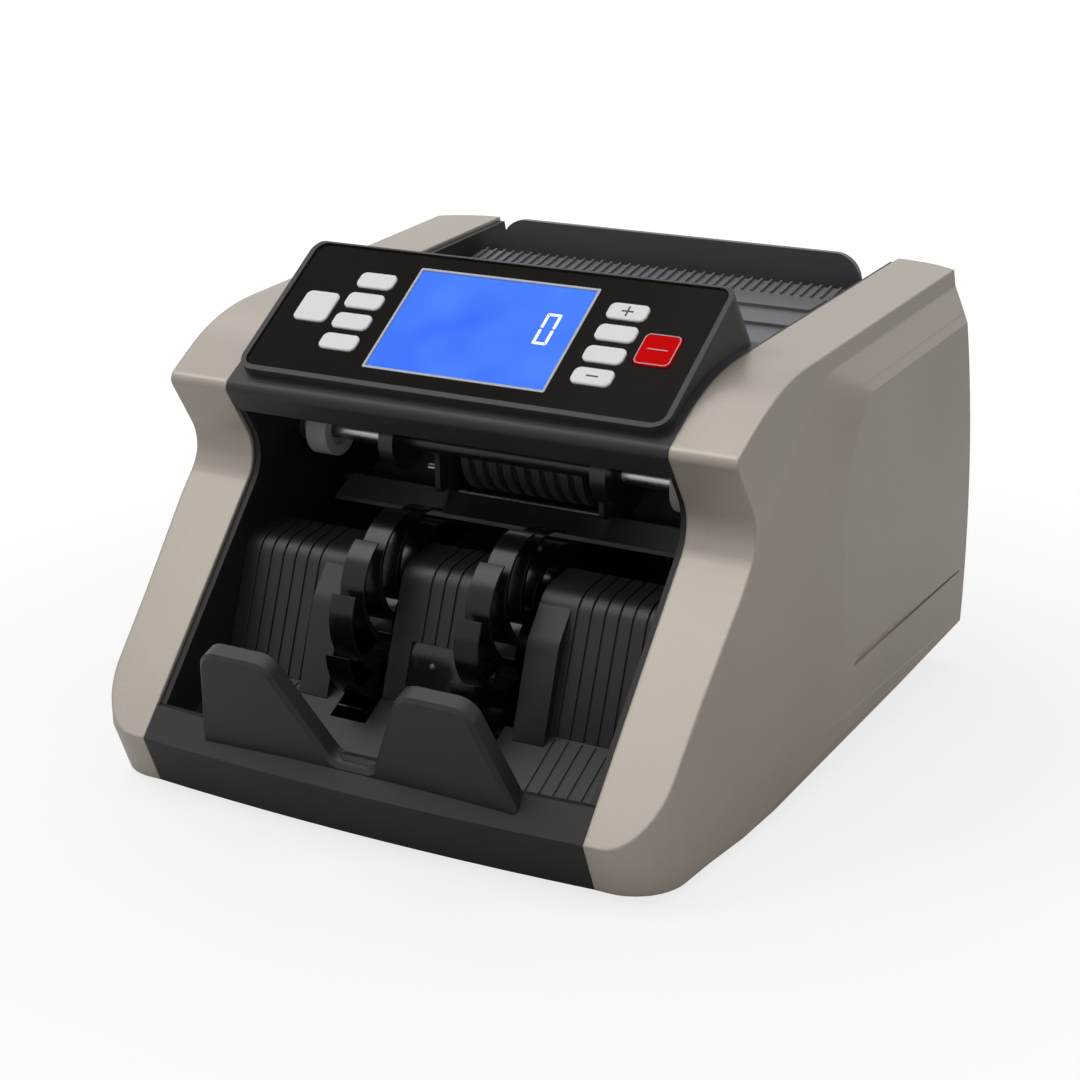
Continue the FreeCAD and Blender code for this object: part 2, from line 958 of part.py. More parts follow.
def guide_skin():
    """Section of the stacker's rear guide: leaning face, rolled top, flat run to the rear."""
    low = floor_level(floor_rear) - floor_wall
    top = under + guide_top
    lift = math.radians(guide_lean)
    wall = guide_wall / math.cos(lift)
    points = [
        (floor_rear, low),
        (floor_rear, floor_level(floor_rear)),
        (guide_face(top), top),
        (guide_rear, top + guide_wall),
        (guide_rear, top),
        (guide_face(top) + wall, top - guide_wall),
        (floor_rear + wall, floor_level(floor_rear)),
        (floor_rear + wall, low),
    ]
    return points, [0, 0, guide_roll, 0, 0, guide_roll - guide_wall, 0, 0]


def stacker_guide(low, high, groove_lines):
    points, radii = guide_skin()
    wall = side_prism(points, radii, low, high)
    inward = V(0, groove_depth, -groove_depth)
    cuts = []
    for x in groove_lines:
        line = side_prism(points, radii, x - groove_width / 2, x + groove_width / 2)
        moved = line.copy()
        moved.translate(inward)
        cuts.append(line.cut(moved))
    return wall.cut(cuts)


def pedestal(low, high):
    """Raised pad at the wheel side of an outer guide, fading into its rolled top."""
    front = floor_rear - pedestal_depth
    top = under + pedestal_top
    fade = under + pedestal_fade
    points = [
        (front, floor_level(front)),
        (guide_face(top) - pedestal_depth, top),
        (guide_face(fade), fade),
        (guide_face(fade) + guide_wall / 2, fade),
        (floor_rear + guide_wall / 2, floor_level(floor_rear)),
        (floor_rear, floor_level(floor_rear)),
    ]
    return side_prism(points, [0, pedestal_radius, 0, 0, 0, 0], low, high)


def guide_side():
    low = wheel_offset + slot_half + guide_offset
    lines = groove_places(low + pedestal_width + groove_margin)
    wall = stacker_guide(low, inner_half, [x for x in lines if x < inner_half - groove_pitch / 2])
    return wall.fuse(pedestal(low, low + pedestal_width)).removeSplitter()


def guide_centre():
    half = wheel_offset - slot_half - seat_gap
    wall = stacker_guide(-half, half, [-groove_pitch, 0.0, groove_pitch])
    low = under + window_low
    hole = block(-window_width / 2, window_width / 2, 0, guide_rear, low, low + window_height)
    return wall.cut(hole)


def sensor_window():
    """Dark plate that fills the square opening in the centre guide, set a little back."""
    low = under + window_low
    high = low + window_height
    points = [
        (guide_face(low) + window_drop, low),
        (guide_face(high) + window_drop, high),
        (guide_face(high) + window_drop + guide_wall, high),
        (guide_face(low) + window_drop + guide_wall, low),
    ]
    return side_prism(points, sharp(points), -window_width / 2, window_width / 2)


def note_stop():
    lean = math.radians(stop_lean)
    foot = V(0, stop_depth, under + stop_low)
    rise = V(0, -math.sin(lean), math.cos(lean))
    back = V(0, math.cos(lean), math.sin(lean))

    def place(a, b):
        return foot + X * a + rise * b

    points = [
        (stop_half, -stop_root),
        (stop_half, 0),
        (lobe_outer, stop_height),
        (lobe_inner, stop_height),
        (valley_half, valley_height),
        (-valley_half, valley_height),
        (-lobe_inner, stop_height),
        (-lobe_outer, stop_height),
        (-stop_half, 0),
        (-stop_half, -stop_root),
    ]
    radii = [0, 0] + [lobe_radius] * 2 + [valley_radius] * 2 + [lobe_radius] * 2 + [0, 0]
    plate = prism(points, radii, place, back * stop_thick)
    front = []
    for edge in plate.Edges:
        ends = [vertex.Point - foot for vertex in edge.Vertexes]
        facing = all(abs(end.dot(back)) < touch for end in ends)
        if facing and max(end.dot(rise) for end in ends) > valley_height / 2:
            front.append(edge)
    plate = plate.makeChamfer(stop_chamfer, front)
    trimmed = plate.cut(bowed(front_skin_points()))
    return max(trimmed.Solids, key=lambda solid: solid.Volume)


# Stacking wheels
def vane():
    """One curved vane that runs out along the rim, in the wheel's own YZ plane."""
    root = hub_radius - vane_root

    def blade(radius, bend):
        away = radius - bend
        turn = math.acos((root ** 2 - away ** 2 - bend ** 2) / (2 * away * bend))
        return [V(0, away + bend * math.cos(a), bend * math.sin(a)) for a in (0, turn / 2, turn)]

    lead = blade(wheel_radius, vane_bend)
    trail = blade(wheel_radius - vane_tip, vane_bend - vane_thick)
    outline = Part.Wire([
        Part.Arc(*lead).toShape(),
        Part.makeLine(lead[2], trail[2]),
        Part.Arc(*trail).toShape(),
        Part.makeLine(trail[0], lead[0]),
    ])
    return Part.Face(outline).extrude(X * wheel_width)


def stacking_wheel(offset):
    low = offset - wheel_width / 2
    blade = vane()
    wheel = Part.makeCylinder(hub_radius, wheel_width, V(0, 0, 0), X)
    blades = []
    for index in range(vane_count):
        copy = blade.copy()
        copy.rotate(V(0, 0, 0), X, 360.0 * index / vane_count)
        blades.append(copy)
    wheel = wheel.fuse(blades)
    wheel.translate(V(low, wheel_depth, under + wheel_height))
    return wheel.cut(rod(low - 1, low + wheel_width + 1, wheel_depth, under + wheel_height, shaft_radius))


# Shafts, rollers, pulleys and belts
pulley_in = frame_outer + pulley_gap
pulley_out = pulley_in + pulley_width
second_in = pulley_out + 2.0
second_out = second_in + pulley_width


def feed_drum():
    level = under + drum_height
    shaft = rod(-pulley_out, second_out, drum_depth, level, shaft_radius)
    return shaft.fuse(rod(-drum_half, drum_half, drum_depth, level, drum_radius)).removeSplitter()


def feed_rings():
    pitch = (2 * drum_half - ring_width) / (ring_count - 1)
    solids = []
    for index in range(ring_count):
        low = -drum_half + index * pitch
        ring = tube(low, low + ring_width, drum_depth, under + drum_height, ring_radius, drum_radius)
        solids.append(ring)
    return Part.makeCompound(solids)


def cage_plate(side):
    depth = drum_depth
    level = under + drum_height
    front = depth - ring_radius - cage_front
    back = depth + ring_radius - cage_trim
    bottom = level - ring_radius - guide_gap
    points = [
        (front, level - ring_radius + cage_trim),
        (front, level + ring_radius - cage_slope),
        (depth + cage_slope, level + ring_radius + cage_rise),
        (back, level + cage_slope),
        (back, bottom),
        (front + cage_chamfer, bottom),
    ]
    low = side * cage_offset
    high = side * (cage_offset + cage_wall)
    plate = side_prism(points, [cage_radius] * len(points), min(low, high), max(low, high))
    sweep = rod(-side_half, side_half, depth, level, ring_radius + guide_gap)
    above = block(-side_half, side_half, 0, depth, level - ring_radius + 1.0, 2 * top_height)
    plate = plate.common(sweep.fuse(above))
    return plate.cut(rod(-side_half, side_half, depth, level, shaft_radius + 4 * run_gap))


def cage_pins():
    solids = []
    front = drum_depth - ring_radius + pin_inset
    for side in (-1, 1):
        inner = side * (cage_offset + cage_wall)
        outer = inner + side * pin_length
        for index in range(pin_count):
            level = under + drum_height + (index - (pin_count - 1) / 2) * pin_pitch
            solids.append(rod(min(inner, outer), max(inner, outer), front, level, pin_radius))
    return Part.makeCompound(solids)


def roller_shaft():
    end = frame_outer + pulley_gap
    level = under + roller_height
    shaft = rod(-end, end, roller_depth, level, shaft_radius)
    discs = []
    for side in (-1, 1):
        low = side * disc_offset - disc_width / 2
        discs.append(rod(low, low + disc_width, roller_depth, level, disc_radius))
    return shaft.fuse(discs).removeSplitter()


def guide_roller(side):
    middle = side * roller_offset
    low = middle - roller_width / 2
    high = middle + roller_width / 2
    level = under + roller_height
    tyre = tube(low, high, roller_depth, level, roller_radius, roller_bore)
    half = roller_web / 2
    web = tube(middle - half, middle + half, roller_depth, level, roller_bore, shaft_radius)
    return tyre.fuse(web).removeSplitter()


def pickup_shaft():
    return rod(-frame_outer - pulley_gap, second_out, pickup_depth, under + pickup_height, shaft_radius)


def pickup_rollers():
    solids = []
    for middle in pickup_places:
        low = middle - pickup_width / 2
        solids.append(tube(low, low + pickup_width, pickup_depth, under + pickup_height,
                           pickup_radius, shaft_radius))
    return Part.makeCompound(solids)


def wheel_shaft():
    return rod(-pulley_out, frame_outer + pulley_gap, wheel_depth, under + wheel_height, shaft_radius)


def pulley(low, depth, height, radius, bore):
    level = under + height
    body = tube(low, low + pulley_width, depth, level, radius, bore)
    rim = radius + belt_thick
    for start in (low, low + pulley_width - pulley_flange):
        body = body.fuse(tube(start, start + pulley_flange, depth, level, rim, bore))
    return body.removeSplitter()


def hull_face(first, first_radius, second, second_radius, x):
    """Outline of a taut loop round two circles in a YZ plane."""
    span = V(0, second[0] - first[0], second[1] - first[1])
    length = span.Length
    base = math.atan2(span.z, span.y)
    lift = math.acos((first_radius - second_radius) / length)

    def at(centre, radius, angle):
        return V(x, centre[0] + radius * math.cos(angle), centre[1] + radius * math.sin(angle))

    far_turn = math.pi + base
    outline = [
        Part.Arc(at(first, first_radius, base + lift), at(first, first_radius, far_turn),
                 at(first, first_radius, base - lift)).toShape(),
        Part.makeLine(at(first, first_radius, base - lift), at(second, second_radius, base - lift)),
        Part.Arc(at(second, second_radius, base - lift), at(second, second_radius, base),
                 at(second, second_radius, base + lift)).toShape(),
        Part.makeLine(at(second, second_radius, base + lift), at(first, first_radius, base + lift)),
    ]
    return Part.Face(Part.Wire(outline))


def belt(low, first, first_radius, second, second_radius):
    x0 = low + pulley_flange + seat_gap
    width = pulley_width - 2 * (pulley_flange + seat_gap)
    lift_one = (first[0], under + first[1])
    lift_two = (second[0], under + second[1])
    outer = hull_face(lift_one, first_radius + run_gap + belt_thick, lift_two,
                      second_radius + run_gap + belt_thick, x0)
    inner = hull_face(lift_one, first_radius + run_gap, lift_two, second_radius + run_gap, x0)
    return outer.cut(inner).extrude(X * width)


def motor():
    level = under + motor_height
    face = frame_inner
    body = rod(face - motor_flange - motor_length, face - motor_flange, motor_depth, level, motor_radius)
    back = face - motor_flange - motor_length
    rear_cap = rod(back - motor_cap, back, motor_depth, level, motor_cap_radius)
    outline = rectangle(motor_depth, level, motor_plate, motor_plate)
    flange = prism(outline, [motor_plate_radius] * 4, in_yz(face - motor_flange), X * motor_flange)
    whole = body.fuse([rear_cap, flange])
    return whole.cut(rod(0, side_half, motor_depth, level, shaft_radius + run_gap)).removeSplitter()


def motor_hole():
    return rod(frame_inner - 1, frame_outer + 1, motor_depth, under + motor_height, bush_radius)


def motor_rotor():
    start = frame_inner - motor_flange - motor_length + shaft_radius
    shaft = rod(start, pulley_out, motor_depth, under + motor_height, shaft_radius)
    wheel = pulley(pulley_in, motor_depth, motor_height, motor_pulley_radius, shaft_radius)
    return shaft.fuse(wheel).removeSplitter()


def feed_pulley():
    """Stepped pulley on the feed shaft: one step from the motor, one to the pickup shaft."""
    first = pulley(pulley_in, drum_depth, drum_height, drive_radius, shaft_radius)
    second = pulley(second_in, drum_depth, drum_height, lift_radius, shaft_radius)
    hub = tube(pulley_out, second_in, drum_depth, under + drum_height, lift_radius, shaft_radius)
    return first.fuse([second, hub]).removeSplitter()


# Throat parts
def throat_chute():
    """Curved plate behind and under the feed drum that turns the notes down into the stacker."""
    level = under + drum_height
    inner = ring_radius + guide_gap
    outer = inner + chute_wall
    rear_angle = math.radians(chute_back)
    front_angle = math.radians(chute_crest)
    middle = (rear_angle + front_angle) / 2

    def at(radius, angle):
        return V(-chute_half, drum_depth + radius * math.cos(angle), level + radius * math.sin(angle))

    lip_out = at(inner, front_angle) + V(0, -chute_lip, -chute_fall)
    lip_low = at(outer, front_angle) + V(0, -chute_lip, -chute_fall)
    outline = Part.Wire([
        Part.Arc(at(inner, rear_angle), at(inner, middle), at(inner, front_angle)).toShape(),
        Part.makeLine(at(inner, front_angle), lip_out),
        Part.makeLine(lip_out, lip_low),
        Part.makeLine(lip_low, at(outer, front_angle)),
        Part.Arc(at(outer, front_angle), at(outer, middle), at(outer, rear_angle)).toShape(),
        Part.makeLine(at(outer, rear_angle), at(inner, rear_angle)),
    ])
    plate = Part.Face(outline).extrude(X * 2 * chute_half)
    ears = []
    for side in (-1, 1):
        low = min(side * chute_half, side * inner_half)
        ear = block(low, low + inner_half - chute_half, drum_depth - ear_half, drum_depth + ear_half,
                    level - outer, level - inner)
        ears.append(ear)
    return plate.fuse(ears).removeSplitter()


def wear_strip():
    """Thin steel strip on the crest of the chute, just in front of the feed rings."""
    inner = ring_radius + guide_gap
    crest = math.radians(chute_crest)
    y = drum_depth + inner * math.cos(crest)
    z = under + drum_height + inner * math.sin(crest)
    return block(-strip_half, strip_half, y - strip_depth / 2, y + strip_depth / 2, z, z + strip_thick)


# Hopper
def tray_top_points():
    return [
        (tray_front, under + tray_front_height),
        (tray_step_two, under + tray_rib_height - 3 * tray_step),
        (tray_step_two, under + tray_rib_height - 2 * tray_step),
        (tray_step_one, under + tray_rib_height - tray_step),
        (tray_step_one, under + tray_rib_height),
        (tray_rib_front, under + tray_rib_height + tray_shelf_rise),
        (tray_rear, under + tray_rear_height),
    ]


def hopper_tray():
    top = tray_top_points()
    under_side = [
        (tray_rear, under + tray_rear_height - tray_wall - tray_rear_belly),
        (tray_rib_front, under + tray_rib_height - tray_wall - tray_shelf_belly),
        (tray_step_two, under + tray_rib_height - 3 * tray_step - tray_wall - tray_step_belly),
        (tray_front, under + tray_front_height - tray_wall),
    ]
    bed = side_prism(top + under_side, sharp(top + under_side), -bed_half, bed_half)
    low = [
        (tray_front, under + tray_front_height - wing_drop),
        (tray_step_two, under + tray_rib_height - 3 * tray_step - wing_drop),
        (tray_rib_front, under + tray_rib_height - wing_shelf_drop),
        (tray_rib_front, under + tray_rib_height + tray_shelf_rise),
        (tray_rear, under + tray_rear_height),
    ]
    wings = side_prism(low + under_side, sharp(low + under_side), -inner_half, inner_half)
    tray = bed.fuse(wings).removeSplitter()
    cuts = []
    half = pickup_width / 2 + tray_slot_side
    reach = pickup_radius + tray_slot_end
    for middle in pickup_places:
        cuts.append(block(middle - half, middle + half, pickup_depth - reach, pickup_depth + reach,
                          0, 2 * top_height))
    tray = tray.cut(cuts)
    ribs = []
    slope = [
        (tray_rib_front + rib_end, under + tray_rib_height),
        (tray_rear - rib_end, under + tray_rear_height - rib_end),
        (tray_rear - rib_end, under + tray_rear_height + rib_height),
        (tray_rib_front + rib_end, under + tray_rib_height + tray_shelf_rise + rib_height),
    ]
    for index in range(rib_count):
        x = (index - (rib_count - 1) / 2) * rib_pitch
        if abs(x) < inner_half - rib_width:
            ribs.append(side_prism(slope, sharp(slope), x - rib_width / 2, x + rib_width / 2))
    return tray.fuse(ribs).removeSplitter()


def back_plate():
    low = under + back_low
    points = [
        (-back_half, low),
        (back_half, low),
        (back_half, under + back_top),
        (-back_half, under + back_top),
    ]
    radii = [0, 0, back_radius, back_radius]
    return prism(points, radii, in_xz(back_depth), Y * back_wall)


# Rear cover and fittings
def rear_cover():
    half = inner_half
    shell = [rear_arc(0), rear_arc(cover_wall)]
    outer = shell[0].toShape()
    inner = shell[1].toShape()
    top_out = V(0, rear_top_depth, under + top_height)
    top_in = V(0, rear_top_depth - cover_wall, under + top_height)
    low_out = V(0, rear_bottom_depth, under)
    low_in = V(0, rear_bottom_depth - cover_wall, under)
    outline = Part.Wire([
        outer,
        Part.makeLine(low_out, low_in),
        inner,
        Part.makeLine(top_in, top_out),
    ])
    skin = Part.Face(outline).extrude(X * 2 * half)
    skin.translate(V(-half, 0, 0))
    shelf_high = under + back_low
    limit = block(-half, half, 0, rear_depth + past, under, shelf_high)
    skin = skin.common(limit)
    shelf_rear = cover_depth(shelf_high, cover_wall / 2)
    shelf = block(-half, half, cover_front, shelf_rear, shelf_high - cover_wall, shelf_high)
    cover = skin.fuse(shelf).removeSplitter()
    cuts = []
    for index in range(vent_count):
        x = (index - (vent_count - 1) / 2) * vent_pitch + vent_place
        slot = rectangle(x, under + vent_low + vent_length / 2, vent_width, vent_length)
        cuts.append(prism(slot, [vent_width / 2 - run_gap] * 4, in_xz(fitting_front), Y * 2 * past))
    level = under + inlet_level
    inlet = rectangle(inlet_place, level, inlet_width - 2 * inlet_rim, inlet_height - 2 * inlet_rim_low)
    cuts.append(prism(inlet, [edge_radius] * 4, in_xz(fitting_front), Y * 2 * past))
    hole = rectangle(switch_place, level, switch_width - 2 * switch_rim, switch_height - 2 * switch_rim)
    cuts.append(prism(hole, [edge_radius] * 4, in_xz(fitting_front), Y * 2 * past))
    start = V(0, fitting_front, under + knob_level)
    cuts.append(Part.makeCylinder(knob_stem + run_gap, 2 * past, start, Y))
    return cover.cut(cuts)


def cover_depth(level, inset):
    circle = rear_arc(inset).toShape().Curve
    return circle.Center.y + math.sqrt(circle.Radius ** 2 - (level - circle.Center.z) ** 2)


def power_inlet(cover):
    level = under + inlet_level
    face = cover_depth(level, 0)
    width = inlet_width - 2 * inlet_rim - 2 * seat_gap
    height = inlet_height - 2 * inlet_rim_low - 2 * seat_gap
    length = inlet_length + seat_gap + fitting_flange / 2
    body = prism(rectangle(inlet_place, level, width, height), [edge_radius] * 4, in_xz(face - inlet_length),
                 Y * length)
    flange = prism(rectangle(inlet_place, level, inlet_width, inlet_height), [inlet_radius] * 4,
                   in_xz(face + seat_gap), Y * fitting_flange)
    whole = body.fuse(flange)
    low_cut = (socket_width / 2 - socket_chamfer, socket_chamfer)
    socket = [
        (inlet_place - socket_width / 2, level - socket_height / 2),
        (inlet_place + socket_width / 2, level - socket_height / 2),
        (inlet_place + socket_width / 2, level + socket_height / 2 - low_cut[1]),
        (inlet_place + low_cut[0], level + socket_height / 2),
        (inlet_place - low_cut[0], level + socket_height / 2),
        (inlet_place - socket_width / 2, level + socket_height / 2 - low_cut[1]),
    ]
    start = face - inlet_length + socket_floor
    recess = prism(socket, [socket_radius] * len(socket), in_xz(start), Y * (inlet_length + past))
    return whole.cut([recess, cover]).removeSplitter()


def inlet_pins():
    level = under + inlet_level
    face = cover_depth(level, 0)
    solids = []
    for dx, dz in socket_pins:
        x = inlet_place + dx
        z = level + dz
        solids.append(block(x - socket_pin_half, x + socket_pin_half, face - inlet_length + socket_floor,
                            face - socket_pin_set, z - socket_pin_height, z + socket_pin_height))
    return Part.makeCompound(solids)


def switch_pivot():
    level = under + inlet_level
    return V(switch_place, cover_depth(level, 0) - rocker_pivot, level)


def switch_body(cover):
    level = under + inlet_level
    face = cover_depth(level, 0)
    inner_w = switch_width - 2 * switch_rim - 2 * seat_gap
    inner_h = switch_height - 2 * switch_rim - 2 * seat_gap
    outline = rectangle(switch_place, level, inner_w, inner_h)
    box = prism(outline, [edge_radius] * 4, in_xz(face - switch_length), Y * (switch_length + edge_radius))
    flange = prism(rectangle(switch_place, level, switch_width, switch_height), [switch_radius] * 4,
                   in_xz(face + seat_gap), Y * fitting_flange)
    wide = rocker_width / 2 + move_gap
    tall = rocker_height / 2 + well_gap
    well = block(switch_place - wide, switch_place + wide, face - well_floor, face + past,
                 level - tall, level + tall)
    whole = box.fuse(flange).cut([well, cover])
    pivot = switch_pivot()
    half = wide + edge_radius
    pin = rod(switch_place - half, switch_place + half, pivot.y, pivot.z, rocker_pin)
    return whole.fuse(pin).removeSplitter()


def rocker():
    pivot = switch_pivot()
    face = cover_depth(under + inlet_level, 0)
    half = rocker_height / 2
    top = face + fitting_flange + seat_gap
    points = [
        (pivot.y - rocker_root, pivot.z - rocker_root_half),
        (pivot.y - rocker_root, pivot.z + rocker_root_half),
        (top - rocker_skirt, pivot.z + half - edge_radius),
        (top + rocker_peak, pivot.z + half - rocker_peak),
        (top - rocker_dip, pivot.z),
        (top + rocker_peak, pivot.z - half + rocker_peak),
        (top - rocker_skirt, pivot.z - half + edge_radius),
    ]
    radii = [rocker_root_radius] * 2 + [rocker_edge] * 2 + [rocker_dish] + [rocker_edge] * 2
    low = switch_place - rocker_width / 2
    body = side_prism(points, radii, low, low + rocker_width)
    body = body.cut(rod(low - 1, low + rocker_width + 1, pivot.y, pivot.z, rocker_pin + run_gap))
    body.rotate(pivot, X, rocker_swing / 2)
    return body


def gap_knob():
    level = under + knob_level
    face = cover_depth(level, 0)
    cap = Part.makeCylinder(knob_radius, knob_length, V(0, face + knob_stand, level), Y)
    flutes = []
    ring = knob_radius + flute_out
    for index in range(flute_count):
        angle = 2 * math.pi * index / flute_count
        start = V(ring * math.cos(angle), face + knob_stand + flute_end, level + ring * math.sin(angle))
        flutes.append(Part.makeCylinder(flute_radius, knob_length - 2 * flute_end, start, Y))
    stem = Part.makeCylinder(knob_stem, knob_depth + knob_stand, V(0, face - knob_depth, level), Y)
    return cap.cut(flutes).fuse(stem).removeSplitter()


def build():
    panel = side_panel()
    frame = side_frame()
    guide = guide_side()
    cover = rear_cover()
    drum = (drum_depth, drum_height)
    pickup = (pickup_depth, pickup_height)
    wheel = (wheel_depth, wheel_height)
    drive = (motor_depth, motor_height)
    nodes = {
        "right_side_panel": panel,
        "left_side_panel": mirrored(panel),
        "right_side_frame": frame.cut(motor_hole()),
        "left_side_frame": mirrored(frame),
        "base_pan": base_pan(),
        "rubber_feet": feet(),
        "base_screws": base_screws(),
        "main_board": mainboard(),
        "transformer": transformer(),
        "stacker_floor": stacker_floor(),
        "right_stacker_guide": guide,
        "left_stacker_guide": mirrored(guide),
        "centre_stacker_guide": guide_centre(),
        "sensor_window": sensor_window(),
        "note_stop": note_stop(),
        "stacking_wheels": Part.makeCompound([stacking_wheel(-wheel_offset), stacking_wheel(wheel_offset)]),
        "wheel_shaft": wheel_shaft(),
        "shaft_bushes": bushes(),
        "feed_drum": feed_drum(),
        "feed_rings": feed_rings(),
        "cage_plates": Part.makeCompound([cage_plate(-1), cage_plate(1)]),
        "cage_pins": cage_pins(),
        "roller_shaft": roller_shaft(),
        "guide_rollers": Part.makeCompound([guide_roller(-1), guide_roller(1)]),
        "pickup_shaft": pickup_shaft(),
        "pickup_rollers": pickup_rollers(),
        "throat_chute": throat_chute(),
        "wear_strip": wear_strip(),
        "motor": motor(),
        "motor_rotor": motor_rotor(),
        "feed_pulley": feed_pulley(),
        "pickup_pulley": pulley(second_in, *pickup, lift_radius, shaft_radius),
        "stacker_drive_pulley": pulley(-pulley_out, *drum, stack_drive_radius, shaft_radius),
        "wheel_pulley": pulley(-pulley_out, *wheel, stack_driven_radius, shaft_radius),
        "motor_belt": belt(pulley_in, drive, motor_pulley_radius, drum, drive_radius),
        "pickup_belt": belt(second_in, drum, lift_radius, pickup, lift_radius),
        "stacker_belt": belt(-pulley_out, drum, stack_drive_radius, wheel, stack_driven_radius),
        "hopper_tray": hopper_tray(),
        "hopper_back_plate": back_plate(),
        "rear_cover": cover,
        "power_inlet": power_inlet(cover),
        "inlet_pins": inlet_pins(),
        "switch_body": switch_body(cover),
        "switch_rocker": rocker(),
        "gap_knob": gap_knob(),
        "console_housing": console_housing(),
        "control_panel": control_panel(),
        "display_screen": screen(),
        "display_bezel": screen_bezel(),
        "key_board": key_board(),
    }
    for name, (cx, cy, width, length) in key_layout().items():
        nodes[name] = key_cap(cx, cy, width, length)
    return nodes


def origin_shift(nodes):
    box = nodes["note_stop"].optimalBoundingBox(False)
    box.add(nodes["gap_knob"].optimalBoundingBox(False))
    return V(0, -(box.YMin + box.YMax) / 2, 0)


def main():
    os.makedirs("parts", exist_ok=True)
    nodes = build()
    shift = origin_shift(nodes)
    for name, shape in nodes.items():
        shape.translate(shift)
        shape.exportStep("parts/%s.step" % name)


if __name__ == "__main__":
    main()
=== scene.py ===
import json
import math

import bmesh
import bpy
from mathutils import Matrix, Vector


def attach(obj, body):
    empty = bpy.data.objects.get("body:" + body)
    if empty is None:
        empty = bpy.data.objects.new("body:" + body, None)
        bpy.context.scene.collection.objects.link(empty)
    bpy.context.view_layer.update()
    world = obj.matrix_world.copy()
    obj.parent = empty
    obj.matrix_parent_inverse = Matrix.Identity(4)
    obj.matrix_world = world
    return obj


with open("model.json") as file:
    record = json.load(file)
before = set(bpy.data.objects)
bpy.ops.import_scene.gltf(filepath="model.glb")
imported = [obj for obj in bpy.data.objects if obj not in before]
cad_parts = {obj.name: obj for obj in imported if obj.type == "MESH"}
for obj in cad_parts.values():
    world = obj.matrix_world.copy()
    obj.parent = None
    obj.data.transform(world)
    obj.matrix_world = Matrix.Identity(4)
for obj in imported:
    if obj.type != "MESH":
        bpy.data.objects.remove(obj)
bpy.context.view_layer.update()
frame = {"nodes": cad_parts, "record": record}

MM = 0.001

# The front lip of the machine in the part's frame; places below are measured from it in millimetres
LIP_Y = -0.1461969

scene = bpy.context.scene
scene.view_settings.view_transform = "Standard"


def at(x, y, z):
    return Vector((x * MM, LIP_Y + y * MM, z * MM))


# Camera at the photograph's angle
CAM_AZIMUTH = math.radians(30.584)
CAM_ELEVATION = math.radians(19.054)
CAM_ROLL = math.radians(-0.841)
CAM_DISTANCE = 0.855118
CAM_TARGET = at(79.944, 8.7, 135.327)
CAM_LENS = 80.75
CAM_SENSOR = 36
CAM_NEAR = 0.01

back = Vector((
    math.sin(CAM_AZIMUTH) * math.cos(CAM_ELEVATION),
    -math.cos(CAM_AZIMUTH) * math.cos(CAM_ELEVATION),
    math.sin(CAM_ELEVATION),
))
level_right = Vector((math.cos(CAM_AZIMUTH), math.sin(CAM_AZIMUTH), 0))
level_up = back.cross(level_right)
right = level_right * math.cos(CAM_ROLL) + level_up * math.sin(CAM_ROLL)
up = level_up * math.cos(CAM_ROLL) - level_right * math.sin(CAM_ROLL)
cam_data = bpy.data.cameras.new("camera")
cam_data.lens = CAM_LENS
cam_data.sensor_width = CAM_SENSOR
cam_data.sensor_fit = "HORIZONTAL"
cam_data.clip_start = CAM_NEAR
camera = bpy.data.objects.new("camera", cam_data)
scene.collection.objects.link(camera)
camera.matrix_world = Matrix.Translation(CAM_TARGET + back * CAM_DISTANCE) @ Matrix((
    (right.x, up.x, back.x, 0),
    (right.y, up.y, back.y, 0),
    (right.z, up.z, back.z, 0),
    (0, 0, 0, 1),
))
scene.camera = camera


# Light
def area_light(name, place, aim, size, watts):
    data = bpy.data.lights.new(name, "AREA")
    data.shape = "RECTANGLE"
    data.size, data.size_y = size
    data.energy = watts
    lamp = bpy.data.objects.new(name, data)
    scene.collection.objects.link(lamp)
    lamp.location = place
    lamp.rotation_euler = (Vector(aim) - Vector(place)).to_track_quat("-Z", "Y").to_euler()


# Place, point aimed at and size in metres, power in watts
LAMPS = {
    "key_light": ((-0.95, -0.7, 1.8), (0, 0, 0.08), (1.2, 1.0), 11.5),
    "top_light": ((0.1, 0.1, 2.0), (0, 0, 0.1), (1.6, 1.6), 9.5),
    "front_fill": ((0.5, -1.6, 0.35), (0, 0, 0.1), (1.2, 0.6), 0.3),
    "side_light": ((1.35, -0.85, 0.9), (0.1, 0.05, 0.1), (0.7, 0.7), 1.1),
    "rim_light": ((-0.87, 0.72, 1.5), (0.1, -0.05, 0.17), (0.5, 0.5), 1.8),
}
for name, lamp in LAMPS.items():
    area_light(name, *lamp)

# Sky: white where it is seen or mirrored, dimmer as a source of light
WHITE = (1, 1, 1, 1)
SKY_LIGHT = 0.20
SKY_SEEN = 1.0
world = bpy.data.worlds.new("studio")
scene.world = world
world.use_nodes = True
world_nodes = world.node_tree.nodes
world_links = world.node_tree.links
world_nodes.clear()
light_path = world_nodes.new("ShaderNodeLightPath")
seen = world_nodes.new("ShaderNodeMath")
seen.operation = "MAXIMUM"
seen_all = world_nodes.new("ShaderNodeMath")
seen_all.operation = "MAXIMUM"
strength = world_nodes.new("ShaderNodeMapRange")
strength.inputs["To Min"].default_value = SKY_LIGHT
strength.inputs["To Max"].default_value = SKY_SEEN
sky = world_nodes.new("ShaderNodeBackground")
world_out = world_nodes.new("ShaderNodeOutputWorld")
world_links.new(light_path.outputs["Is Camera Ray"], seen.inputs[0])
world_links.new(light_path.outputs["Is Glossy Ray"], seen.inputs[1])
world_links.new(seen.outputs[0], seen_all.inputs[0])
world_links.new(light_path.outputs["Is Transmission Ray"], seen_all.inputs[1])
world_links.new(seen_all.outputs[0], strength.inputs["Value"])
world_links.new(strength.outputs["Result"], sky.inputs["Strength"])
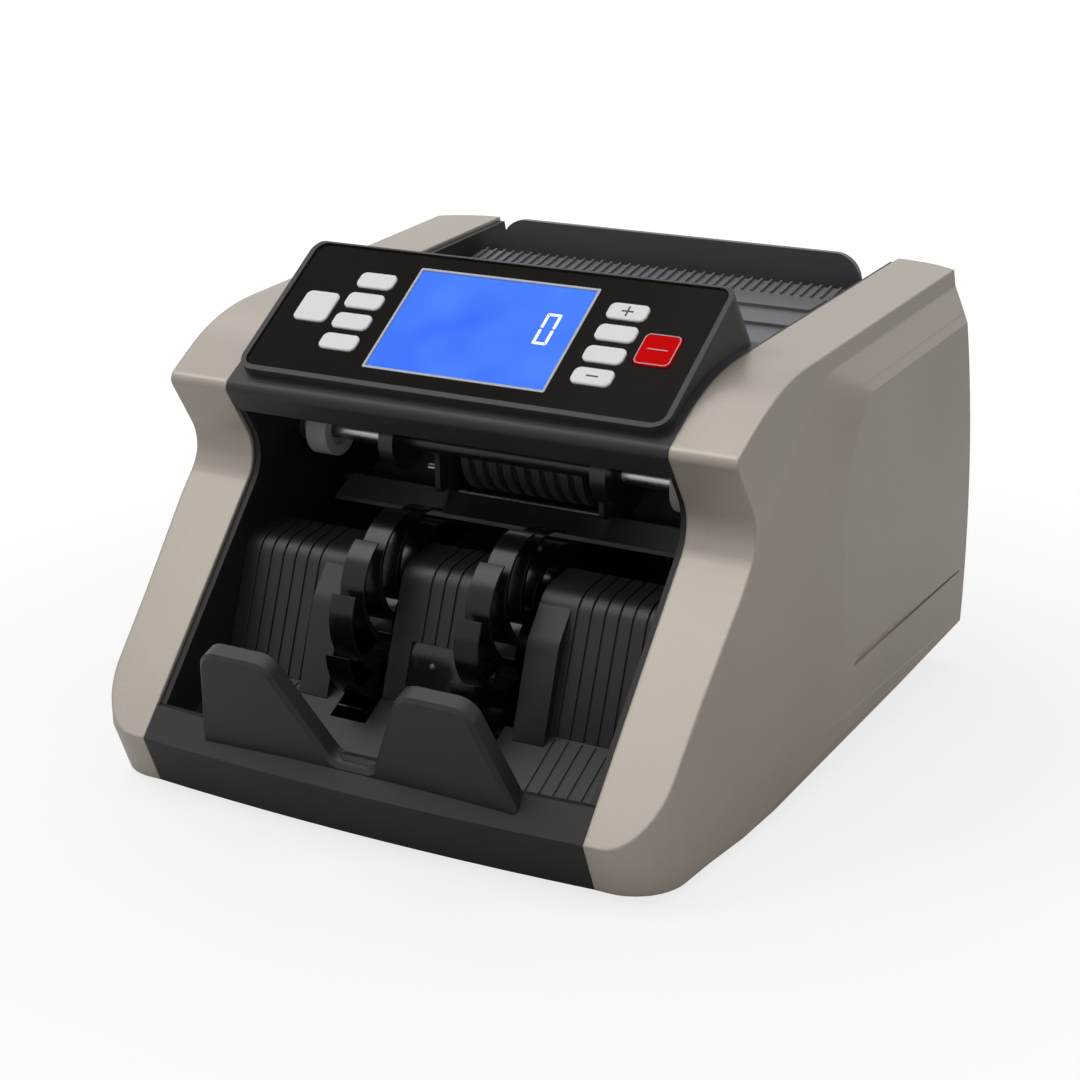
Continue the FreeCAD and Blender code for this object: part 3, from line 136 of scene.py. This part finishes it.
world_links.new(sky.outputs[0], world_out.inputs["Surface"])
sky.inputs["Color"].default_value = WHITE


# Materials
FINE_DETAIL = 3.0
SLOW_DETAIL = 2.0
SLOW_SHARE = 0.45
NOISE_LOW = 0.3
NOISE_HIGH = 0.7
LEAST_ROUGH = 0.02
GRAIN_DEPTH = 0.2 * MM
EDGE_SAMPLES = 4
RING_SCALE = 2500.0
RING_STRETCH = (1.0, 0.02, 0.02)
RING_DARK = 0.8
RING_LIGHT = 1.1
RING_ROUGH = 0.08
SCREEN_CLOUD = 28.0
SCREEN_LOW = 0.3
SCREEN_HIGH = 0.75
SCREEN_BODY = (0.004, 0.012, 0.04, 1)
SCREEN_GLOW = 0.96
SCREEN_ROUGH = 0.25
SCREEN_SPECULAR = 0.12


def socket(node, name, value):
    node.inputs[name].default_value = value


def new_material(name):
    material = bpy.data.materials.new(name)
    material.use_nodes = True
    tree = material.node_tree
    shader = tree.nodes["Principled BSDF"]
    return material, tree, shader


def grained(name, colour, rough, metal=0.0, spread=0.06, grain=900.0, cloud=14.0, bump=0.06, edge=0.0004,
            rough_spread=0.06, specular=0.5):
    """Moulded or painted surface: slow and fine colour variation, grain in gloss and relief, softened edges."""
    material, tree, shader = new_material(name)
    nodes, links = tree.nodes, tree.links
    coords = nodes.new("ShaderNodeTexCoord")
    fine = nodes.new("ShaderNodeTexNoise")
    socket(fine, "Scale", grain)
    socket(fine, "Detail", FINE_DETAIL)
    slow = nodes.new("ShaderNodeTexNoise")
    socket(slow, "Scale", cloud)
    socket(slow, "Detail", SLOW_DETAIL)
    links.new(coords.outputs["Object"], fine.inputs["Vector"])
    links.new(coords.outputs["Object"], slow.inputs["Vector"])
    both = nodes.new("ShaderNodeMix")
    both.data_type = "FLOAT"
    socket(both, 0, SLOW_SHARE)
    links.new(fine.outputs["Fac"], both.inputs[2])
    links.new(slow.outputs["Fac"], both.inputs[3])
    ramp = nodes.new("ShaderNodeValToRGB")
    dark = [channel * (1 - spread) for channel in colour]
    light = [min(1.0, channel * (1 + spread)) for channel in colour]
    ramp.color_ramp.elements[0].position = NOISE_LOW
    ramp.color_ramp.elements[1].position = NOISE_HIGH
    ramp.color_ramp.elements[0].color = (*dark, 1)
    ramp.color_ramp.elements[1].color = (*light, 1)
    links.new(both.outputs[0], ramp.inputs["Fac"])
    links.new(ramp.outputs["Color"], shader.inputs["Base Color"])
    gloss = nodes.new("ShaderNodeMapRange")
    socket(gloss, "From Min", NOISE_LOW)
    socket(gloss, "From Max", NOISE_HIGH)
    socket(gloss, "To Min", max(LEAST_ROUGH, rough - rough_spread))
    socket(gloss, "To Max", min(1.0, rough + rough_spread))
    links.new(both.outputs[0], gloss.inputs["Value"])
    links.new(gloss.outputs["Result"], shader.inputs["Roughness"])
    relief = nodes.new("ShaderNodeBump")
    socket(relief, "Strength", bump)
    socket(relief, "Distance", GRAIN_DEPTH)
    links.new(fine.outputs["Fac"], relief.inputs["Height"])
    if edge:
        soft = nodes.new("ShaderNodeBevel")
        soft.samples = EDGE_SAMPLES
        socket(soft, "Radius", edge)
        links.new(soft.outputs["Normal"], relief.inputs["Normal"])
    links.new(relief.outputs["Normal"], shader.inputs["Normal"])
    socket(shader, "Metallic", metal)
    socket(shader, "Specular IOR Level", specular)
    return material


def turned(name, colour, rough):
    """Ground or turned metal, with fine rings round the X axis."""
    material, tree, shader = new_material(name)
    nodes, links = tree.nodes, tree.links
    coords = nodes.new("ShaderNodeTexCoord")
    stretch = nodes.new("ShaderNodeMapping")
    socket(stretch, "Scale", RING_STRETCH)
    rings = nodes.new("ShaderNodeTexNoise")
    socket(rings, "Scale", RING_SCALE)
    socket(rings, "Detail", SLOW_DETAIL)
    links.new(coords.outputs["Object"], stretch.inputs["Vector"])
    links.new(stretch.outputs["Vector"], rings.inputs["Vector"])
    ramp = nodes.new("ShaderNodeValToRGB")
    ramp.color_ramp.elements[0].color = (*[channel * RING_DARK for channel in colour], 1)
    ramp.color_ramp.elements[1].color = (*[min(1.0, channel * RING_LIGHT) for channel in colour], 1)
    links.new(rings.outputs["Fac"], ramp.inputs["Fac"])
    links.new(ramp.outputs["Color"], shader.inputs["Base Color"])
    gloss = nodes.new("ShaderNodeMapRange")
    socket(gloss, "To Min", rough - RING_ROUGH)
    socket(gloss, "To Max", rough + RING_ROUGH)
    links.new(rings.outputs["Fac"], gloss.inputs["Value"])
    links.new(gloss.outputs["Result"], shader.inputs["Roughness"])
    socket(shader, "Metallic", 1.0)
    return material


def lit_display(name, colour, deep):
    """Backlit display with faint clouding."""
    material, tree, shader = new_material(name)
    nodes, links = tree.nodes, tree.links
    coords = nodes.new("ShaderNodeTexCoord")
    cloud = nodes.new("ShaderNodeTexNoise")
    socket(cloud, "Scale", SCREEN_CLOUD)
    socket(cloud, "Detail", SLOW_DETAIL)
    links.new(coords.outputs["Object"], cloud.inputs["Vector"])
    ramp = nodes.new("ShaderNodeValToRGB")
    ramp.color_ramp.elements[0].position = SCREEN_LOW
    ramp.color_ramp.elements[1].position = SCREEN_HIGH
    ramp.color_ramp.elements[0].color = (*deep, 1)
    ramp.color_ramp.elements[1].color = (*colour, 1)
    links.new(cloud.outputs["Fac"], ramp.inputs["Fac"])
    links.new(ramp.outputs["Color"], shader.inputs["Emission Color"])
    socket(shader, "Base Color", SCREEN_BODY)
    socket(shader, "Emission Strength", SCREEN_GLOW)
    socket(shader, "Roughness", SCREEN_ROUGH)
    socket(shader, "Specular IOR Level", SCREEN_SPECULAR)
    return material


def sleeved(name, half, black):
    """Steel shaft with a black sleeve over its middle."""
    material = turned(name, STEEL, STEEL_ROUGH)
    tree = material.node_tree
    nodes, links = tree.nodes, tree.links
    shader = nodes["Principled BSDF"]
    coords = nodes.new("ShaderNodeTexCoord")
    split = nodes.new("ShaderNodeSeparateXYZ")
    links.new(coords.outputs["Object"], split.inputs[0])
    across = nodes.new("ShaderNodeMath")
    across.operation = "ABSOLUTE"
    links.new(split.outputs["X"], across.inputs[0])
    inside = nodes.new("ShaderNodeMath")
    inside.operation = "LESS_THAN"
    socket(inside, 1, half)
    links.new(across.outputs[0], inside.inputs[0])
    metal = nodes.new("ShaderNodeMath")
    metal.operation = "SUBTRACT"
    socket(metal, 0, 1.0)
    links.new(inside.outputs[0], metal.inputs[1])
    links.new(metal.outputs[0], shader.inputs["Metallic"])
    steel = shader.inputs["Base Color"].links[0].from_socket
    blend = nodes.new("ShaderNodeMix")
    blend.data_type = "RGBA"
    socket(blend, 7, (*black, 1))
    links.new(inside.outputs[0], blend.inputs[0])
    links.new(steel, blend.inputs[6])
    links.new(blend.outputs[2], shader.inputs["Base Color"])
    return material


STEEL = (0.56, 0.56, 0.57)
STEEL_ROUGH = 0.30
SHELL = {"colour": (0.45, 0.396, 0.342), "rough": 0.36, "metal": 0.27, "spread": 0.10, "grain": 1600, "bump": 0.10}
MATERIALS = {
    "shell": grained("shell_paint", edge=0.0016, **SHELL),
    "field": grained("field_paint", edge=0, **SHELL),
    "chassis_black": grained("chassis_black", (0.009, 0.009, 0.010), 0.50, grain=1500, bump=0.12, specular=0.35),
    "console_black": grained("console_black", (0.020, 0.020, 0.022), 0.46, grain=1500, bump=0.10, specular=0.38),
    "stacker_black": grained("stacker_black", (0.012, 0.012, 0.0135), 0.42, grain=1300, bump=0.08, specular=0.4),
    "wheel_black": grained("wheel_black", (0.006, 0.006, 0.007), 0.22, grain=700, bump=0.03, specular=0.3),
    "lens": grained("sensor_lens", (0.010, 0.008, 0.010), 0.10, grain=300, bump=0.01),
    "foot_rubber": grained("foot_rubber", (0.02, 0.02, 0.02), 0.75, grain=1200, bump=0.2),
    "feed_rubber": grained("feed_rubber", (0.045, 0.043, 0.042), 0.65, grain=1400, bump=0.25),
    "roller_white": grained("roller_rubber", (0.50, 0.49, 0.47), 0.6, grain=1200, bump=0.15),
    "steel": turned("turned_steel", STEEL, STEEL_ROUGH),
    "brass": turned("turned_brass", (0.66, 0.48, 0.22), 0.32),
    "pulley_plastic": grained("pulley_plastic", (0.04, 0.04, 0.042), 0.5, grain=900, bump=0.1),
    "board_green": grained("solder_mask", (0.02, 0.11, 0.05), 0.35, grain=500, cloud=90, spread=0.2, bump=0.05),
    "transformer_grey": grained("transformer_grey", (0.10, 0.10, 0.105), 0.45, metal=0.4, grain=700, spread=0.15),
    "fitting_black": grained("fitting_black", (0.016, 0.016, 0.017), 0.42, grain=1400, bump=0.1),
    "overlay_glass": grained("overlay_sheet", (0.0100, 0.0078, 0.0064), 0.12, spread=0.1, grain=200, bump=0.0,
                             rough_spread=0.02, edge=0.0003, specular=0.04),
    "display_blue": lit_display("display_blue", (0.060, 0.23, 1.0), (0.022, 0.14, 0.96)),
    "display_trim": grained("display_trim", (0.55, 0.57, 0.60), 0.4, grain=900, bump=0.05),
    "key_white": grained("key_white", (0.93, 0.93, 0.92), 0.38, spread=0.03, grain=1000, bump=0.04),
    "key_red": grained("key_red", (0.80, 0.002, 0.003), 0.5, spread=0.04, grain=1000, bump=0.04, specular=0.015),
    "digit": grained("digit_glow", (0.90, 0.92, 0.80), 0.4, spread=0.03, edge=0),
    "lamp": grained("lamp_lens", (0.16, 0.16, 0.17), 0.15, grain=300, bump=0.01, edge=0),
    "sign": grained("sign_black", (0.01, 0.01, 0.01), 0.5, edge=0),
}
DIGIT_COLOUR = (0.95, 0.97, 0.85, 1)
DIGIT_GLOW = 0.6
digit_shader = MATERIALS["digit"].node_tree.nodes["Principled BSDF"]
socket(digit_shader, "Emission Color", DIGIT_COLOUR)
socket(digit_shader, "Emission Strength", DIGIT_GLOW)

SLEEVE_HALF = 56 * MM
NODE_MATERIALS = {
    "hopper_tray": grained("hopper_grey", (0.150, 0.147, 0.158), 0.45, grain=1500, bump=0.10),
    "hopper_back_plate": grained("back_plate_grey", (0.085, 0.085, 0.092), 0.42, grain=1500, bump=0.10),
    # Painted light: the chute and cage plates get a lighter copy of the chassis black, standing in for the dim light
    # inside the throat
    "throat_chute": grained("chute_black_painted_light", (0.030, 0.030, 0.031), 0.45, grain=1500, bump=0.10),
    "cage_plates": grained("cage_black_painted_light", (0.030, 0.030, 0.031), 0.45, grain=1500, bump=0.10),
    "roller_shaft": sleeved("sleeved_shaft", SLEEVE_HALF, (0.014, 0.014, 0.015)),
}
for row in frame["record"]["subparts"]:
    slots = frame["nodes"][row["node"]].data.materials
    slots.clear()
    slots.append(NODE_MATERIALS.get(row["node"], MATERIALS[row["material_slot"]]))


# Console plane: x across, s up the slope from the glass's lower edge, h out of the glass
GLASS_Y = 71.4
GLASS_Z = 163.3
CONSOLE_SLOPE = math.radians(33.5)


def on_glass(x, s, h):
    y = GLASS_Y + s * math.cos(CONSOLE_SLOPE) - h * math.sin(CONSOLE_SLOPE)
    z = GLASS_Z + s * math.sin(CONSOLE_SLOPE) + h * math.cos(CONSOLE_SLOPE)
    return at(x, y, z)


def strip(bm, first, second):
    """Closed strip of quads between two rings with the same number of points."""
    for i in range(len(first)):
        j = (i + 1) % len(first)
        bm.faces.new((first[i], first[j], second[j], second[i]))


def plates(name, outlines, low, high, material, frames=()):
    """Thin raised plates with the given outlines, and frames between an outer and an inner outline, as one mesh."""
    mesh = bpy.data.meshes.new(name)
    bm = bmesh.new()

    def ring(outline, h):
        return [bm.verts.new(on_glass(x, s, h)) for x, s in outline]

    for outline in outlines:
        bottom, top = ring(outline, low), ring(outline, high)
        bm.faces.new(top)
        bm.faces.new(bottom)
        strip(bm, bottom, top)
    for outer, inner in frames:
        rings = [ring(outer, low), ring(outer, high), ring(inner, high), ring(inner, low)]
        for i in range(len(rings)):
            strip(bm, rings[i - 1], rings[i])
    bmesh.ops.recalc_face_normals(bm, faces=bm.faces)
    bm.to_mesh(mesh)
    bm.free()
    piece = bpy.data.objects.new(name, mesh)
    scene.collection.objects.link(piece)
    piece.data.materials.append(material)
    return piece


def bar(x0, x1, s0, s1):
    return [(x0, s0), (x1, s0), (x1, s1), (x0, s1)]


SQUARE_STEPS = 6


def soft_square(x, s, half, radius):
    """Square outline with round corners, anticlockwise."""
    reach = half - radius
    outline = []
    for corner, (i, j) in enumerate(((1, 1), (-1, 1), (-1, -1), (1, -1))):
        for step in range(SQUARE_STEPS + 1):
            turn = math.pi / 2 * (corner + step / SQUARE_STEPS)
            outline.append((x + i * reach + radius * math.cos(turn), s + j * reach + radius * math.sin(turn)))
    return outline


# Figure on the display: one seven-segment zero
DIGIT_X = (24.8, 31.4)
DIGIT_S = (30.8, 47.2)
STROKE = 1.25
SEGMENT_GAP = 0.25
SCREEN_DROP = -0.5
GLYPH_RISE = 0.12


def segment_bars():
    x0, x1 = DIGIT_X
    s0, s1 = DIGIT_S
    mid = (s0 + s1) / 2
    g = SEGMENT_GAP
    w = STROKE
    bars = []
    for s, inward in ((s0, w), (s1, -w)):
        bars.append([(x0 + g, s), (x1 - g, s), (x1 - g - w, s + inward), (x0 + g + w, s + inward)])
    for x, inward in ((x0, w), (x1, -w)):
        for low, high, end in ((s0, mid, 1), (mid, s1, -1)):
            if end == 1:
                bars.append([(x, low + g), (x + inward, low + g + w), (x + inward, high - g - w / 2),
                             (x + inward / 2, high - g), (x, high - g - w / 2)])
            else:
                bars.append([(x, high - g), (x + inward, high - g - w), (x + inward, low + g + w / 2),
                             (x + inward / 2, low + g), (x, low + g + w / 2)])
    return bars


digit = plates("display_digit", segment_bars(), SCREEN_DROP, SCREEN_DROP + GLYPH_RISE, MATERIALS["digit"])
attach(digit, "chassis")

# Signs on the keys
KEY_COLUMN = 58.2
KEY_TOP = 0.8
TOP_ROW = 52.1
LOW_ROW = 17.9
SIGN_HALF = 2.6
SIGN_WIDTH = 0.75
SIGN_RISE = 0.06


def plus_outline(x, s):
    """Plus sign about a point, as one outline."""
    a, w = SIGN_HALF, SIGN_WIDTH / 2
    turns = [
        (-a, -w), (-w, -w), (-w, -a), (w, -a), (w, -w), (a, -w),
        (a, w), (w, w), (w, a), (-w, a), (-w, w), (-a, w),
    ]
    return [(x + i, s + j) for i, j in turns]


plus = plates("plus_sign", [plus_outline(KEY_COLUMN, TOP_ROW)], KEY_TOP, KEY_TOP + SIGN_RISE, MATERIALS["sign"])
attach(plus, "right_key_4_body")
minus_bar = bar(KEY_COLUMN - SIGN_HALF, KEY_COLUMN + SIGN_HALF, LOW_ROW - SIGN_WIDTH / 2, LOW_ROW + SIGN_WIDTH / 2)
minus = plates("minus_sign", [minus_bar], KEY_TOP, KEY_TOP + SIGN_RISE, MATERIALS["sign"])
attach(minus, "right_key_1_body")

# Pale border and middle line of the red key
RED_X = 78.7
RED_S = 34.9
RED_HALF = 7.7
RED_RADIUS = 2.5
BORDER_WIDTH = 0.4
LINE_HALF = 4.4
LINE_WIDTH = 0.45
border = (soft_square(RED_X, RED_S, RED_HALF, RED_RADIUS),
          soft_square(RED_X, RED_S, RED_HALF - BORDER_WIDTH, RED_RADIUS - BORDER_WIDTH))
line = bar(RED_X - LINE_HALF, RED_X + LINE_HALF, RED_S - LINE_WIDTH / 2, RED_S + LINE_WIDTH / 2)
red_marks = plates("red_key_marks", [line], KEY_TOP, KEY_TOP + SIGN_RISE, MATERIALS["display_trim"], frames=[border])
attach(red_marks, "start_key_body")


# Outermost layer of each side panel's raised field, with its long tapering groove
THROAT_HALF = 101.0
LAYER_LOW_X = 134.5
LAYER_HIGH_X = 136.0
LAYER_BOTTOM = 24.5
GROOVE = ((163.0, 42.8), (280.0, 46.9), (280.0, 47.6), (167.6, 47.6))
GROOVE_LOW_X = 134.7
GROOVE_TOP_X = 135.7
TOP_RISE = math.tan(math.radians(2.8))
REAR_ARC = ((282.0, 184.6), (297.0, 85.0), (291.0, 3.0))
REAR_AXIS = 227.78
FIELD_LOW = {"x": LAYER_LOW_X, "front": 129.3, "foot": (42.8, 13.5), "corner": (163.4, 159.55), "radius": 15.0}
FIELD_HIGH = {"x": LAYER_HIGH_X, "front": 151.0, "foot": (72.6, 17.0), "corner": (171.0, 156.0), "radius": 12.0}
CORNER_STEPS = 8
REAR_STEPS = 16
TOP_ROUNDS = 8


def circle_through(points):
    (ax, ay), (bx, by), (cx, cy) = points
    d = 2 * (ax * (by - cy) + bx * (cy - ay) + cx * (ay - by))
    a, b, c = (x * x + y * y for x, y in points)
    x = (a * (by - cy) + b * (cy - ay) + c * (ay - by)) / d
    y = (a * (cx - bx) + b * (ax - cx) + c * (bx - ax)) / d
    return x, y, math.hypot(ax - x, ay - y)


REAR_Y, REAR_Z, REAR_RADIUS = circle_through(REAR_ARC)


def rear_depth(x, z):
    """Depth of the double-curved rear at a place across and up."""
    middle = REAR_Y + math.sqrt(REAR_RADIUS ** 2 - (z - REAR_Z) ** 2)
    return REAR_AXIS + math.sqrt((middle - REAR_AXIS) ** 2 - (x - THROAT_HALF) ** 2)


def field_outline(field):
    """Outline of the raised field in one plane: upright front, leaning edge, round corner, top and curved rear."""
    foot, corner = Vector(field["foot"]), Vector(field["corner"])
    along = (foot - corner).normalized()
    rearward = Vector((1, TOP_RISE)).normalized()
    half = along.angle(rearward) / 2
    reach = field["radius"] / math.tan(half)
    middle = (along + rearward).normalized()
    centre = corner + middle * (field["radius"] / math.sin(half))
    first = corner + along * reach - centre
    last = corner + rearward * reach - centre
    lean = (field["front"] - foot.x) / (corner.x - foot.x)
    outline = [(field["front"], LAYER_BOTTOM), (field["front"], foot.y + lean * (corner.y - foot.y))]
    for step in range(CORNER_STEPS + 1):
        spoke = first.lerp(last, step / CORNER_STEPS).normalized() * field["radius"]
        outline.append(tuple(centre + spoke))
    top = corner.y
    for _ in range(TOP_ROUNDS):
        top = corner.y + TOP_RISE * (rear_depth(field["x"], top) - corner.x)
    for step in range(REAR_STEPS + 1):
        z = top + (LAYER_BOTTOM - top) * step / REAR_STEPS
        outline.append((rear_depth(field["x"], z), z))
    return outline


def field_layer(name, side):
    """Layer between the two outlines, closed behind, with the groove sunk into its face."""
    bm = bmesh.new()

    def ring(x, outline):
        return [bm.verts.new(at(side * x, y, z)) for y, z in outline]

    def sunk(outline):
        depths = (GROOVE_LOW_X, GROOVE_LOW_X, GROOVE_TOP_X, GROOVE_TOP_X)
        return [bm.verts.new(at(side * x, y, z)) for x, (y, z) in zip(depths, outline)]

    def edges(verts):
        return [bm.edges.get((verts[i - 1], verts[i])) for i in range(len(verts))]

    low = ring(LAYER_LOW_X, field_outline(FIELD_LOW))
    high = ring(LAYER_HIGH_X, field_outline(FIELD_HIGH))
    mouth = ring(LAYER_HIGH_X, GROOVE)
    floor = sunk(GROOVE)
    bm.faces.new(low)
    bm.faces.new(floor)
    strip(bm, low, high)
    strip(bm, mouth, floor)
    bmesh.ops.triangle_fill(bm, edges=edges(high) + edges(mouth), use_beauty=True)
    bmesh.ops.recalc_face_normals(bm, faces=bm.faces)
    mesh = bpy.data.meshes.new(name)
    bm.to_mesh(mesh)
    bm.free()
    layer = bpy.data.objects.new(name, mesh)
    scene.collection.objects.link(layer)
    layer.data.materials.append(MATERIALS["field"])
    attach(layer, "chassis")


field_layer("right_field_layer", 1)
field_layer("left_field_layer", -1)


# Small lamp in the sensor window
LAMP_RADIUS = 1.5 * MM
LAMP_SINK = 0.8 * MM
LAMP_ROUND = 24
LAMP_RINGS = 12


def window_lamp():
    window = frame["nodes"]["sensor_window"]
    placed = window.matrix_world
    corners = [placed @ Vector(corner) for corner in window.bound_box]
    centre = sum(corners, Vector()) / len(corners)
    facing = min(window.data.polygons, key=lambda face: (placed.to_3x3() @ face.normal).y)
    normal = (placed.to_3x3() @ facing.normal).normalized()
    centre += normal * (placed @ facing.center - centre).dot(normal)
    mesh = bpy.data.meshes.new("sensor_lamp")
    bm = bmesh.new()
    bmesh.ops.create_uvsphere(bm, u_segments=LAMP_ROUND, v_segments=LAMP_RINGS, radius=LAMP_RADIUS)
    for face in bm.faces:
        face.smooth = True
    bm.to_mesh(mesh)
    bm.free()
    lamp = bpy.data.objects.new("sensor_lamp", mesh)
    scene.collection.objects.link(lamp)
    lamp.location = centre - normal * LAMP_SINK
    lamp.data.materials.append(MATERIALS["lamp"])
    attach(lamp, "chassis")


window_lamp()


# Floor: pale, and nearly white to the camera, more so away from the machine
FLOOR_HALF = 4.0
FLOOR_COLOUR = (0.86, 0.86, 0.86, 1)
FLOOR_ROUGH = 0.9
FLOOR_GLOW = 1.06
FADE_START = 0.20
FADE_END = 0.60
GLOW_NEAR = 0.74
GLOW_FAR = 1.0


def floor_plane():
    mesh = bpy.data.meshes.new("floor")
    half = FLOOR_HALF
    mesh.from_pydata([(-half, -half, 0), (half, -half, 0), (half, half, 0), (-half, half, 0)], [], [(0, 1, 2, 3)])
    floor = bpy.data.objects.new("floor", mesh)
    scene.collection.objects.link(floor)
    material, tree, shader = new_material("pale_floor")
    socket(shader, "Base Color", FLOOR_COLOUR)
    socket(shader, "Roughness", FLOOR_ROUGH)
    nodes, links = tree.nodes, tree.links
    path = nodes.new("ShaderNodeLightPath")
    glow = nodes.new("ShaderNodeEmission")
    socket(glow, "Color", WHITE)
    socket(glow, "Strength", FLOOR_GLOW)
    blend = nodes.new("ShaderNodeMixShader")
    share = nodes.new("ShaderNodeMath")
    share.operation = "MULTIPLY"
    coords = nodes.new("ShaderNodeTexCoord")
    reach = nodes.new("ShaderNodeVectorMath")
    reach.operation = "LENGTH"
    links.new(coords.outputs["Object"], reach.inputs[0])
    fade = nodes.new("ShaderNodeMapRange")
    socket(fade, "From Min", FADE_START)
    socket(fade, "From Max", FADE_END)
    socket(fade, "To Min", GLOW_NEAR)
    socket(fade, "To Max", GLOW_FAR)
    links.new(reach.outputs["Value"], fade.inputs["Value"])
    links.new(fade.outputs["Result"], share.inputs[1])
    links.new(path.outputs["Is Camera Ray"], share.inputs[0])
    links.new(share.outputs[0], blend.inputs["Fac"])
    links.new(shader.outputs[0], blend.inputs[1])
    links.new(glow.outputs[0], blend.inputs[2])
    links.new(blend.outputs[0], nodes["Material Output"].inputs["Surface"])
    floor.data.materials.append(material)


floor_plane()
